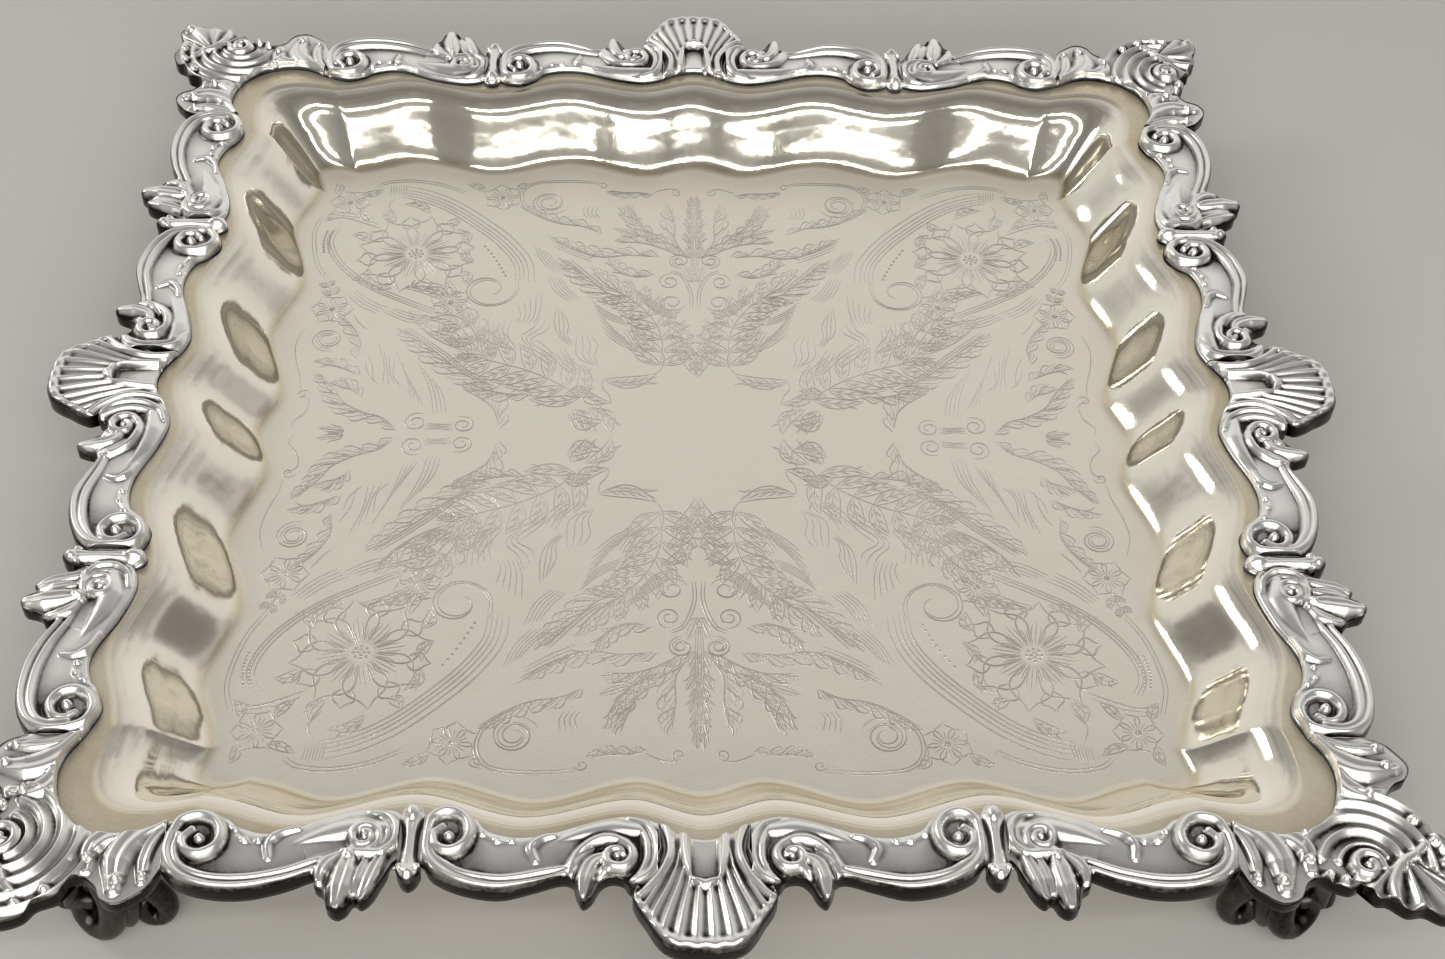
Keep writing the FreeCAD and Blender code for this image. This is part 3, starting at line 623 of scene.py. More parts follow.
def tray_rings(count):
    """The outlines of the tray's skin with their levels, from the middle of the floor, over the wall
    and the flange's edge, and back underneath, and how many of them are above the edge."""
    sheet = settings().sheet
    top = UNDERSIDE + sheet
    profile = smooth_curve(WALL_PROFILE, 56) * MM
    profile[:, 1] *= (SEAT - top) / profile[-1, 1]
    foot = wall_ring(0.0, count)
    inner = wall_ring(profile[-1, 0], count)
    outer = tray_ring(FLANGE_HALF, FLANGE_CORNER, 0.0, 1.0, count)

    def flange(share, level):
        return inner * (1 - share) + outer * share, level

    rings = [(foot * (1 + step), top) for step in FLOOR_STEPS]
    rings += [(wall_ring(out, count), top + rise) for out, rise in profile]
    rings += [flange(share, SEAT) for share in (0.3, 0.6, 0.85, 0.97)]
    rings.append(flange(1.0, SEAT - ROUNDING))
    upper = len(rings)
    rings.append(flange(1.0, SEAT - sheet + ROUNDING))
    rings += [flange(share, SEAT - sheet) for share in (0.97, 0.5)]
    tilt = np.arctan(np.gradient(profile[:, 1], profile[:, 0]))
    for (out, rise), lean in zip(profile[::-3], tilt[::-3]):
        rings.append((wall_ring(out, count, sheet * math.sin(lean)), top + rise - sheet * math.cos(lean)))
    rings += [(foot * (1 + step), UNDERSIDE) for step in (-0.02, -0.1, -0.4, -0.999)]
    return rings, upper


def build_tray():
    """The tray in one skin, with tarnish at the foot of the wall and a satin floor and shelf."""
    rings, upper = tray_rings(settings().flute_points)
    points = len(rings[0][0])
    vertices = np.vstack([np.column_stack([ring, np.full(points, level)]) for ring, level in rings])
    rows = len(rings)
    faces = []
    for row in range(rows - 1):
        start = row * points
        here = np.arange(points) + start
        after = np.roll(here, -1)
        faces += np.column_stack([here, after, after + points, here + points])[:, ::-1].tolist()
    faces.append(list(range(points)))
    faces.append(list(range((rows - 1) * points, rows * points))[::-1])
    level = (vertices[:, 2] - UNDERSIDE - settings().sheet) / (SEAT - UNDERSIDE - settings().sheet)
    ring = np.repeat(np.arange(rows), points)
    foot_line = np.exp(-((ring - FLOOR_RINGS - 5) / 3.0) ** 2)
    shelf = np.clip((ring - upper + 12) / 6, 0, 1)
    tarnish = np.where(ring < upper, 0.10 + 0.60 * foot_line + 0.55 * shelf, 0.5)
    satin = np.where(ring < upper, np.maximum(1 - np.clip((level - 0.01) / 0.05, 0, 1), shelf), 0.0)
    mesh_piece("tray_pressed_sheet", vertices, faces, tray_silver(),
               ["tray_body"], {"tarnish": tarnish, "satin": satin})


# ---- The engraving

BURIN_WIDTH = 1.10 * MM / REACH


class Burin:
    """Gathers the cuts of one quadrant of the floor, as paths with a width. Places are fractions of
    the reach from the centre: along one side, then along the other."""

    # Each stroke of a lobe: its root, its length and its bow, as shares of the lobe's reach.
    LOBE = [(-0.30, 0.80, 1.45), (-0.05, 0.95, 1.12), (0.18, 0.90, 0.74), (0.40, 0.75, 0.40)]
    # Across a cut: the place in half widths, the rise in millimetres and how dark it is painted: a painted
    # highlight on one burr, painted shade on the other burr and along the edges, and tarnish with painted
    # shade in the bottom.
    SECTION = np.array([-1.0, -0.5, 0.0, 0.5, 1.0])
    RISE = np.array([-0.020, 0.075, -0.012, 0.100, -0.020])
    PAINTED_LIGHT_AND_TARNISH = np.array([0.85, 0.35, 1.0, 0.0, 0.40])

    def __init__(self):
        self.cuts = []

    def cut(self, points, width=0.50, count=None):
        """One cut through the given places, a tapering line."""
        run = np.linalg.norm(np.diff(points, axis=0), axis=1).sum()
        count = count or int(min(max(run / 0.006, 6), 40))
        self.cuts.append((smooth_curve(points, count), width))

    def between(self, first, last, number, width=0.40):
        """Cuts that change step by step from one path to another."""
        first, last = smooth_curve(first, 9), smooth_curve(last, 9)
        for share in np.linspace(0, 1, number):
            self.cut(first * (1 - share) + last * share, width)

    def parallel(self, points, gaps, width=0.50):
        """Cuts side by side along a path, at the given gaps to its left."""
        line = smooth_curve(points, 30)
        run = np.gradient(line, axis=0)
        run /= np.linalg.norm(run, axis=1, keepdims=True)
        for gap in gaps:
            self.cut(line + gap * np.column_stack([-run[:, 1], run[:, 0]]), width, 34)

    def spiral(self, centre, radius, turns, start, hand=1, width=0.50, core=0.22):
        """A volute that closes in to a small core."""
        share = np.linspace(0, 1, int(16 * turns) + 8)
        angle = math.radians(start) + hand * turns * 2 * math.pi * share
        r = radius * (1 - (1 - core) * share ** 0.85)
        line = np.column_stack([centre[0] + r * np.cos(angle), centre[1] + r * np.sin(angle)])
        self.cuts.append((line, width))

    def leaf(self, base, tip, width, bend, veins, weight=0.45):
        """A pointed leaf: two edges that bow apart, a bent midrib and slanted veins."""
        base, tip = np.array(base, float), np.array(tip, float)
        run = tip - base
        across = np.array([-run[1], run[0]]) / max(np.linalg.norm(run), 1e-9)
        spine = [base + run * s + across * bend * np.linalg.norm(run) * math.sin(math.pi * s)
                 for s in (0, 0.3, 0.6, 0.85, 1)]
        for hand in (-1, 1):
            swell = (0.15, 0.9, 0.85, 0.35, 0)
            self.cut([p + across * hand * width * k for p, k in zip(spine, swell)], weight)
        self.cut([spine[0], spine[1], spine[2], spine[3]], weight * 0.8)
        for number in range(veins):
            at = spine[0] + (spine[3] - spine[0]) * (number + 0.6) / (veins + 0.4)
            at = at + across * bend * np.linalg.norm(run) * 0.8
            for hand in (-1, 1):
                for root in (0.0, 0.055):
                    start = at + run * root
                    self.cut([start, start + run * 0.10 + across * hand * width * 0.38,
                              start + run * 0.20 + across * hand * width * 0.66], weight * 0.6, 5)

    def branch(self, stem, leaves, size, width, lean):
        """A laurel branch: a stem, and leaves that grow from both sides of it towards its tip."""
        line = smooth_curve(stem, leaves * 4 + 1)
        self.cut(stem, 0.45)
        for number in range(leaves):
            at, after = line[number * 4], line[number * 4 + 1]
            run = (after - at) / np.linalg.norm(after - at)
            side = np.array([-run[1], run[0]])
            for hand in (-1, 1):
                reach = size * (1 - 0.35 * number / leaves)
                tip = at + run * reach * (1 - lean * 0.4) + side * hand * reach * lean
                self.leaf(at + run * 0.004, tip, width, 0.10 * hand, 3)

    def plume(self, spine, barbs, size, hand, lean=0.5, weight=0.50):
        """Half of an acanthus leaf: a long edge, and lobes down one side that are hatched lengthwise."""
        barbs, size = max(3, round(0.72 * barbs)), size * 1.25
        line = smooth_curve(spine, barbs * 3 + 1)
        self.cut(spine, weight * 1.2)
        for number in range(barbs):
            at, after = line[number * 3], line[number * 3 + 1]
            run = (after - at) / np.linalg.norm(after - at)
            side = np.array([-run[1], run[0]]) * hand
            reach = size * (0.55 + 0.75 * math.sin(math.pi * (number + 0.7) / (barbs + 0.6)))
            for root, out, curl in self.LOBE:
                start = at + run * reach * root
                bow = side * reach * lean * curl
                self.cut([start, start + run * reach * 0.30 * out + bow * 0.30,
                          start + run * reach * 0.72 * out + bow * 0.80,
                          start + run * reach * 1.08 * out + bow * 0.92,
                          start + run * reach * 1.30 * out + bow * 0.72],
                         weight * (1.0 if root in (-0.30, 0.40) else 0.55), 9)

    def flower(self, centre, radius, petals, veins=3, turn=0.0, layers=2, weight=0.45):
        """A flower of pointed petals in layers, with veins and a seeded eye."""
        for layer in range(layers):
            out = radius
            inner = radius * (0.16 if layer == 0 else 0.66)
            for number in range(petals):
                angle = turn + (number + 0.5 * layer) * 2 * math.pi / petals
                run = np.array([math.cos(angle), math.sin(angle)])
                side = np.array([-run[1], run[0]])
                width = out * math.tan(math.pi / petals) * 0.80
                for hand in (-1, 1):
                    edge = side * hand * width * (1.0 if layer == 0 else 0.55)
                    self.cut([centre + run * inner + edge * 0.26,
                              centre + run * (inner + (out - inner) * 0.40) + edge * 0.90,
                              centre + run * (inner + (out - inner) * 0.66) + edge * 0.84,
                              centre + run * (inner + (out - inner) * 0.86) + edge * 0.30,
                              centre + run * out * 1.04], weight)
                for vein in range(veins if layer == 0 else 0):
                    spread = (vein - (veins - 1) / 2) / max(veins, 1)
                    self.cut([centre + run * inner * 1.15 + side * width * spread * 0.4,
                              centre + run * out * 0.38 + side * width * spread,
                              centre + run * out * (0.66 - abs(spread) * 0.4) + side * width * spread],
                             weight * 0.65, 6)
        for ring, seeds in ((0.045, 4), (0.11, 8)):
            for number in range(seeds):
                angle = 2 * math.pi * number / seeds
                at = np.array(centre) + radius * ring * np.array([math.cos(angle), math.sin(angle)])
                self.pearl(at, radius * 0.030)

    def pearl(self, at, radius):
        """A short stroke that swells in the middle."""
        lean = np.array([radius * 0.8, radius * 0.6])
        at = np.asarray(at, float)
        self.cut([at - lean, at, at + lean], 0.9, 5)

    def husk(self, base, tip, width, weight=0.50):
        """A bell of three pointed leaves that open away from the stem, with hatched throats."""
        base, tip = np.array(base, float), np.array(tip, float)
        run = tip - base
        across = np.array([-run[1], run[0]]) / max(np.linalg.norm(run), 1e-9)
        for share in (-1.0, -0.5, 0.0, 0.5, 1.0):
            out = across * width * share
            length = 1.0 - 0.38 * share ** 2
            self.cut([base, base + run * 0.30 * length + out * 0.75,
                      base + run * 0.72 * length + out * 0.95,
                      base + run * length + out * (1.30 if abs(share) > 0.5 else 0.35)],
                     weight * (1.0 if abs(share) != 0.5 else 0.6), 8)

    def mesh(self, level):
        """Vertices and quads of V-shaped cuts with raised burrs, each tapering at both ends."""
        vertices, faces, shade, start = [], [], [], 0
        for line, width in self.cuts:
            run = np.gradient(line, axis=0)
            run /= np.maximum(np.linalg.norm(run, axis=1, keepdims=True), 1e-9)
            side = np.column_stack([-run[:, 1], run[:, 0]])
            share = np.linspace(0, 1, len(line))
            thin = 0.25 + 0.75 * np.sqrt(np.clip(4 * share * (1 - share), 0, 1))
            half = width * BURIN_WIDTH * 0.5 * thin
            plan = line[:, None, :] + side[:, None, :] * (half[:, None] * self.SECTION)[:, :, None]
            rise = level + self.RISE * MM * (width / 0.5) * thin[:, None]
            vertices.append(np.column_stack([plan.reshape(-1, 2) * REACH, rise.ravel()]))
            faces += grid_faces(len(line), len(self.SECTION), start)
            # Each point of a cut carries how dark it is painted: a painted highlight, painted shade, and
            # tarnish in the bottom.
            shade.append(np.tile(self.PAINTED_LIGHT_AND_TARNISH, len(line)))
            start += len(line) * len(self.SECTION)
        return np.vstack(vertices), faces, np.concatenate(shade)


def engrave_laurel(burin):
    """The scalloped edge of the plain reserve and the laurel branches that spring from it."""
    burin.leaf((0.176, 0.062), (0.139, 0.004), 0.013, -0.22, 4)
    burin.leaf((0.200, 0.060), (0.176, 0.006), 0.013, -0.12, 4)
    burin.leaf((0.190, 0.108), (0.138, 0.074), 0.012, 0.18, 4)
    burin.leaf((0.152, 0.128), (0.064, 0.146), 0.014, 0.16, 5)
    burin.cut([(0.138, 0.074), (0.142, 0.092), (0.153, 0.110), (0.153, 0.128)])
    burin.cut([(0.064, 0.146), (0.056, 0.158), (0.052, 0.180), (0.058, 0.205)])
    burin.leaf((0.040, 0.205), (0.004, 0.136), 0.013, -0.15, 4)
    burin.leaf((0.048, 0.240), (0.010, 0.176), 0.012, -0.15, 4)
    burin.leaf((0.052, 0.275), (0.012, 0.218), 0.011, -0.15, 3)
    burin.branch([(0.188, 0.084), (0.225, 0.118), (0.280, 0.150), (0.340, 0.172), (0.400, 0.196)],
                 7, 0.084, 0.0125, 0.72)
    burin.branch([(0.350, 0.178), (0.372, 0.215), (0.395, 0.255), (0.412, 0.285)], 3, 0.050, 0.010, 0.8)
    burin.branch([(0.060, 0.162), (0.055, 0.215), (0.068, 0.270), (0.100, 0.320), (0.140, 0.352)],
                 7, 0.074, 0.0118, 0.72)
    burin.leaf((0.206, 0.046), (0.150, 0.034), 0.016, 0.25, 4)
    burin.leaf((0.214, 0.092), (0.166, 0.088), 0.014, -0.2, 4)
    burin.leaf((0.300, 0.200), (0.330, 0.262), 0.013, -0.2, 4)
    burin.leaf((0.385, 0.205), (0.452, 0.240), 0.011, 0.15, 4)
    burin.leaf((0.395, 0.250), (0.455, 0.272), 0.012, 0.2, 4)


def engrave_plumes(burin):
    """The long acanthus plumes and the fringes that fill the ground between the branches."""
    burin.plume([(0.330, 0.112), (0.372, 0.134), (0.412, 0.172), (0.452, 0.212), (0.492, 0.250)],
                9, 0.030, -1)
    burin.parallel([(0.340, 0.120), (0.376, 0.142), (0.412, 0.180), (0.450, 0.216), (0.488, 0.249)],
                   (0.0, 0.005))
    burin.plume([(0.112, 0.336), (0.150, 0.345), (0.184, 0.384), (0.226, 0.432)], 8, 0.028, -1)
    burin.parallel([(0.126, 0.348), (0.156, 0.356), (0.188, 0.390), (0.222, 0.432)], (0.0, 0.005))
    burin.plume([(0.318, 0.020), (0.328, 0.058), (0.352, 0.084), (0.382, 0.104)], 6, 0.026, 1)
    burin.plume([(0.280, 0.092), (0.312, 0.094), (0.345, 0.104), (0.372, 0.122)], 5, 0.020, -1)
    burin.between([(0.404, 0.048), (0.412, 0.090), (0.432, 0.128)],
                  [(0.424, 0.046), (0.434, 0.100), (0.458, 0.166)], 4)
    burin.between([(0.440, 0.062), (0.462, 0.110), (0.484, 0.158)],
                  [(0.462, 0.074), (0.474, 0.130), (0.498, 0.196)], 4)
    burin.between([(0.480, 0.108), (0.496, 0.130), (0.498, 0.172)],
                  [(0.512, 0.112), (0.514, 0.160), (0.530, 0.216)], 4)
    burin.between([(0.520, 0.114), (0.538, 0.138), (0.545, 0.168)],
                  [(0.528, 0.118), (0.534, 0.160), (0.548, 0.190)], 2)
    burin.between([(0.098, 0.198), (0.128, 0.216), (0.156, 0.246)],
                  [(0.104, 0.212), (0.138, 0.252), (0.172, 0.312)], 5)
    burin.between([(0.116, 0.262), (0.146, 0.278), (0.168, 0.300)],
                  [(0.120, 0.276), (0.154, 0.300), (0.178, 0.326)], 4)
    burin.between([(0.160, 0.160), (0.168, 0.184), (0.164, 0.214), (0.176, 0.236)],
                  [(0.172, 0.164), (0.196, 0.182), (0.200, 0.212), (0.198, 0.240)], 4)
    burin.between([(0.204, 0.214), (0.216, 0.236), (0.214, 0.262), (0.226, 0.296)],
                  [(0.212, 0.212), (0.232, 0.240), (0.238, 0.270), (0.236, 0.314)], 4)
    burin.between([(0.262, 0.202), (0.276, 0.226), (0.252, 0.246), (0.246, 0.262)],
                  [(0.276, 0.204), (0.292, 0.232), (0.272, 0.256), (0.262, 0.286)], 3)
    burin.between([(0.274, 0.262), (0.264, 0.296), (0.262, 0.344)],
                  [(0.302, 0.266), (0.296, 0.284), (0.302, 0.314)], 5)
    burin.plume([(0.386, 0.196), (0.420, 0.214), (0.452, 0.240), (0.480, 0.276)], 6, 0.030, 1)
    burin.plume([(0.360, 0.214), (0.372, 0.244), (0.392, 0.272), (0.420, 0.290)], 5, 0.028, 1)
    for first, last, number in (
            ([(0.236, 0.160), (0.262, 0.182), (0.286, 0.200)],
             [(0.226, 0.176), (0.250, 0.206), (0.270, 0.226)], 4),
            ([(0.306, 0.214), (0.316, 0.240), (0.312, 0.268)],
             [(0.332, 0.212), (0.346, 0.246), (0.350, 0.280)], 5),
            ([(0.196, 0.330), (0.216, 0.352), (0.234, 0.384)],
             [(0.216, 0.322), (0.242, 0.350), (0.256, 0.392)], 5),
            ([(0.216, 0.400), (0.240, 0.424), (0.262, 0.456)],
             [(0.244, 0.398), (0.268, 0.430), (0.282, 0.470)], 5),
            ([(0.178, 0.428), (0.214, 0.446), (0.250, 0.470)],
             [(0.188, 0.452), (0.226, 0.474), (0.262, 0.500)], 4),
            ([(0.436, 0.278), (0.474, 0.284), (0.512, 0.300)],
             [(0.452, 0.262), (0.490, 0.268), (0.530, 0.292)], 4),
            ([(0.520, 0.300), (0.552, 0.318), (0.584, 0.348)],
             [(0.540, 0.286), (0.572, 0.308), (0.600, 0.340)], 4),
            ([(0.196, 0.140), (0.222, 0.160), (0.240, 0.190)],
             [(0.184, 0.150), (0.206, 0.176), (0.220, 0.206)], 4),
            ([(0.084, 0.190), (0.106, 0.208), (0.124, 0.240)],
             [(0.080, 0.204), (0.098, 0.226), (0.112, 0.260)], 4)):
        burin.between(first, last, number, 0.36)
    burin.plume([(0.100, 0.316), (0.120, 0.340), (0.150, 0.364), (0.176, 0.396)], 6, 0.026, 1)
    burin.plume([(0.068, 0.442), (0.116, 0.446), (0.160, 0.440), (0.204, 0.456), (0.252, 0.486)],
                9, 0.024, 1)
    burin.plume([(0.030, 0.448), (0.062, 0.468), (0.096, 0.480), (0.136, 0.480)], 6, 0.020, 1)
    burin.plume([(0.076, 0.392), (0.104, 0.388), (0.132, 0.402), (0.152, 0.430)], 6, 0.022, 1)


def engrave_cartouche(burin):
    """The long paisley cartouche in the corner, with its great flower."""
    burin.spiral((0.356, 0.352), 0.056, 1.25, 150, 1, 0.60, 0.30)
    burin.spiral((0.354, 0.350), 0.048, 1.15, 155, 1, 0.45, 0.36)
    edge = [(0.300, 0.372), (0.306, 0.420), (0.338, 0.474), (0.384, 0.524), (0.436, 0.570),
            (0.486, 0.598), (0.528, 0.610)]
    burin.parallel(edge, (-0.009, -0.002, 0.005, 0.013, 0.023), 0.55)
    burin.parallel([(0.412, 0.612), (0.456, 0.634), (0.508, 0.645), (0.552, 0.640), (0.572, 0.626)],
                   (0.0, 0.006))
    for number in range(9):
        share = number / 8
        burin.pearl((0.328 + 0.030 * share + 0.01 * share ** 2, 0.388 + 0.078 * share), 0.0026)
    for number in range(7):
        at = 0.518 + 0.0045 * number
        burin.cut([(at, 0.600 + 0.001 * number), (at + 0.003, 0.634)], 0.35, 5)
    other = [(0.440, 0.296), (0.500, 0.328), (0.556, 0.362), (0.600, 0.404), (0.626, 0.446),
             (0.634, 0.484), (0.622, 0.514)]
    burin.parallel(other, (0.0, -0.006, -0.011), 0.55)
    for row in range(2):
        for number in range(10):
            across = 0.638 + 0.009 * row + 0.004 * math.sin(number / 3)
            burin.pearl((across, 0.446 + 0.0062 * number), 0.0022)
    burin.cut([(0.556, 0.512), (0.590, 0.528), (0.624, 0.540), (0.650, 0.534)], 0.55)
    burin.cut([(0.560, 0.522), (0.594, 0.540), (0.640, 0.548)], 0.40)
    centre = np.array([0.487, 0.444])
    burin.flower(centre, 0.100, 8, 5, 0.20, 2, 0.62)
    for base, tip, bend in (((0.420, 0.330), (0.470, 0.346), 0.2), ((0.436, 0.326), (0.500, 0.352), 0.15),
                            ((0.520, 0.350), (0.566, 0.386), -0.2), ((0.400, 0.470), (0.420, 0.512), 0.2),
                            ((0.386, 0.420), (0.398, 0.460), -0.2), ((0.470, 0.556), (0.520, 0.580), 0.2)):
        burin.leaf(base, tip, 0.009, bend, 3)
    for base, tip, bend in (((0.425, 0.372), (0.398, 0.330), 0.2), ((0.405, 0.400), (0.396, 0.362), -0.2),
                            ((0.560, 0.400), (0.592, 0.372), -0.2), ((0.440, 0.525), (0.420, 0.545), 0.2),
                            ((0.530, 0.530), (0.545, 0.566), -0.2), ((0.570, 0.476), (0.606, 0.492), 0.2)):
        burin.leaf(base, tip, 0.010, bend, 2)
    burin.cut([(0.530, 0.548), (0.546, 0.572), (0.540, 0.596)])
    burin.flower(np.array([0.417, 0.316]), 0.036, 6, 1, 0.3, 1)
    burin.flower(np.array([0.617, 0.583]), 0.036, 6, 1, 0.1, 1)
    burin.leaf((0.595, 0.560), (0.570, 0.530), 0.008, 0.1, 2)
    burin.leaf((0.640, 0.560), (0.655, 0.530), 0.008, -0.1, 2)
    burin.leaf((0.600, 0.606), (0.560, 0.622), 0.008, 0.1, 2)
    burin.leaf((0.640, 0.606), (0.646, 0.640), 0.008, 0.1, 2)


def engrave_frame(burin):
    """The scrolled frame that runs along both sides, with volutes and small flowers."""
    burin.parallel([(0.636, 0.370), (0.656, 0.410), (0.668, 0.458), (0.672, 0.506), (0.660, 0.552)],
                   (0.0, 0.006), 0.5)
    burin.cut([(0.644, 0.100), (0.648, 0.130), (0.660, 0.172), (0.664, 0.212), (0.654, 0.252)], 0.5)
    burin.spiral((0.613, 0.220), 0.030, 1.9, 250, 1, 0.55, 0.25)
    burin.spiral((0.613, 0.220), 0.023, 1.2, 250, 1, 0.40, 0.40)
    burin.plume([(0.560, 0.180), (0.558, 0.214), (0.574, 0.250), (0.600, 0.282)], 6, 0.018, -1)
    burin.cut([(0.552, 0.246), (0.566, 0.262), (0.580, 0.286)], 0.45)
    burin.flower(np.array([0.616, 0.296]), 0.036, 6, 1, 0.0, 1)
    burin.branch([(0.616, 0.330), (0.626, 0.350), (0.636, 0.372)], 2, 0.028, 0.006, 0.5)
    burin.plume([(0.484, 0.014), (0.505, 0.036), (0.540, 0.050), (0.572, 0.072), (0.590, 0.102),
                 (0.620, 0.142)], 10, 0.024, -1)
    burin.plume([(0.556, 0.136), (0.580, 0.150), (0.606, 0.158), (0.620, 0.150)], 4, 0.018, 1)
    burin.plume([(0.548, 0.086), (0.560, 0.100), (0.582, 0.106)], 3, 0.018, 1)
    burin.cut([(0.640, 0.004), (0.646, 0.024), (0.630, 0.046), (0.626, 0.074), (0.644, 0.092)], 0.5)
    burin.spiral((0.638, 0.088), 0.012, 1.2, 180, -1, 0.45)
    burin.husk((0.562, 0.005), (0.606, 0.012), 0.010)
    burin.spiral((0.375, 0.021), 0.020, 1.6, 60, 1, 0.50, 0.25)
    burin.spiral((0.450, 0.026), 0.022, 1.6, 120, -1, 0.50, 0.25)
    burin.between([(0.390, 0.008), (0.416, 0.012), (0.436, 0.010)],
                  [(0.392, 0.022), (0.416, 0.022), (0.434, 0.024)], 4, 0.35)
    burin.spiral((0.260, 0.590), 0.036, 2.0, 200, 1, 0.55, 0.25)
    burin.spiral((0.262, 0.592), 0.028, 1.2, 200, 1, 0.40, 0.40)
    burin.parallel([(0.170, 0.646), (0.224, 0.650), (0.284, 0.644), (0.308, 0.618), (0.302, 0.580),
                    (0.272, 0.558)], (0.0, 0.005))
    burin.plume([(0.170, 0.508), (0.200, 0.524), (0.242, 0.532), (0.280, 0.552), (0.312, 0.576)],
                8, 0.020, 1)
    burin.flower(np.array([0.345, 0.603]), 0.036, 6, 1, 0.4, 1)
    burin.leaf((0.375, 0.620), (0.412, 0.640), 0.008, 0.1, 2)
    burin.leaf((0.318, 0.622), (0.300, 0.646), 0.008, -0.1, 2)
    burin.spiral((0.165, 0.640), 0.010, 1.2, 0, 1, 0.45)
    burin.plume([(0.078, 0.618), (0.104, 0.622), (0.130, 0.622), (0.154, 0.628)], 5, 0.014, -1)
    burin.cut([(0.026, 0.630), (0.044, 0.634), (0.062, 0.628), (0.076, 0.620)], 0.5)
    burin.spiral((0.030, 0.622), 0.011, 1.2, 90, -1, 0.45)


def engrave_axis(burin):
    """The stem of husks on the middle of a side, between pairs of volutes and sprays."""
    burin.spiral((0.040, 0.322), 0.024, 1.5, 200, 1, 0.55, 0.25)
    burin.spiral((0.044, 0.376), 0.021, 1.6, 100, -1, 0.55, 0.25)
    burin.spiral((0.026, 0.432), 0.021, 1.6, 260, 1, 0.60, 0.25)
    burin.spiral((0.028, 0.430), 0.013, 1.0, 260, 1, 0.45, 0.40)
    burin.parallel([(0.010, 0.306), (0.008, 0.336), (0.014, 0.366), (0.026, 0.392), (0.044, 0.402)],
                   (0.0, 0.005), 0.5)
    burin.parallel([(0.004, 0.392), (0.006, 0.450), (0.004, 0.510), (0.003, 0.590)], (0.0, 0.0035), 0.45)
    burin.husk((0.002, 0.376), (0.018, 0.420), 0.012)
    for number, (out, at) in enumerate(((0.016, 0.470), (0.020, 0.512), (0.016, 0.552), (0.010, 0.590))):
        burin.husk((0.004, at - 0.030), (out, at), 0.010 - 0.001 * number)
        burin.husk((0.005, at - 0.006), (out * 0.5, at + 0.024), 0.006)
    burin.plume([(0.016, 0.452), (0.034, 0.486), (0.034, 0.530), (0.040, 0.580)], 5, 0.026, -1)
    burin.plume([(0.052, 0.478), (0.082, 0.490), (0.112, 0.520), (0.134, 0.562)], 6, 0.028, 1)
    burin.plume([(0.062, 0.500), (0.084, 0.516), (0.100, 0.546), (0.112, 0.584)], 4, 0.022, -1)
    burin.husk((0.096, 0.500), (0.146, 0.520), 0.012)
    burin.between([(0.168, 0.548), (0.176, 0.560), (0.172, 0.580)],
                  [(0.190, 0.546), (0.198, 0.562), (0.196, 0.584)], 4)
    burin.spiral((0.080, 0.482), 0.009, 1.2, 0, 1, 0.45)
    burin.between([(0.030, 0.282), (0.062, 0.292), (0.092, 0.326)],
                  [(0.046, 0.304), (0.080, 0.334), (0.112, 0.362)], 6)


def build_engraving():
    """Engraves one quadrant and mirrors it into the other three."""
    burin = Burin()
    for engrave in (engrave_laurel, engrave_plumes, engrave_cartouche, engrave_frame, engrave_axis):
        engrave(burin)
    vertices, faces, shade = burin.mesh(UNDERSIDE + settings().sheet)
    flipped = [face[::-1] for face in faces]
    for name, across, along in (("back_right", 1, 1), ("back_left", -1, 1),
                                ("front_left", -1, -1), ("front_right", 1, -1)):
        placed = vertices * np.array([across, along, 1])
        # The mask holds each cut's painted highlight and painted shade, and the tarnish in its bottom.
        mesh_piece(f"engraving_{name}", placed, flipped if across * along > 0 else faces,
                   engraved_silver(), (), {"patina_and_painted_light": shade})


# ---- The feet

FOOT_HEIGHT = 24 * MM
# How many times the domed end of a bar goes into its length.
DOMES = 14


def tube(path, radii, sides=14):
    """Vertices and quads of a round bar along a path, with domed ends."""
    line = smooth_curve(path, 34)
    run = np.gradient(line, axis=0)
    run /= np.linalg.norm(run, axis=1, keepdims=True)
    share = np.linspace(0, 1, len(line))
    radius = taper(radii, share)
    for end in (share, 1 - share):
        dome = np.clip(1 - end * DOMES, 0, 1)
        radius = radius * np.sqrt(np.clip(1 - dome ** 2, 0.02, 1))
    normal = np.cross(run[0], [0.3, 0.5, 0.81])
    normal /= np.linalg.norm(normal)
    rings = []
    for place, along, size in zip(line, run, radius):
        normal = normal - along * (normal @ along)
        normal /= np.linalg.norm(normal)
        other = np.cross(along, normal)
        angle = np.linspace(0, 2 * math.pi, sides, endpoint=False)[:, None]
        rings.append(place + size * (np.cos(angle) * normal + np.sin(angle) * other))
    vertices = np.vstack(rings)
    faces = []
    for row in range(len(line) - 1):
        here = np.arange(sides) + row * sides
        after = np.roll(here, -1)
        faces += np.column_stack([here, after, after + sides, here + sides]).tolist()
    faces.append(list(range(sides))[::-1])
    faces.append(list(range(len(vertices) - sides, len(vertices))))
    return vertices, faces


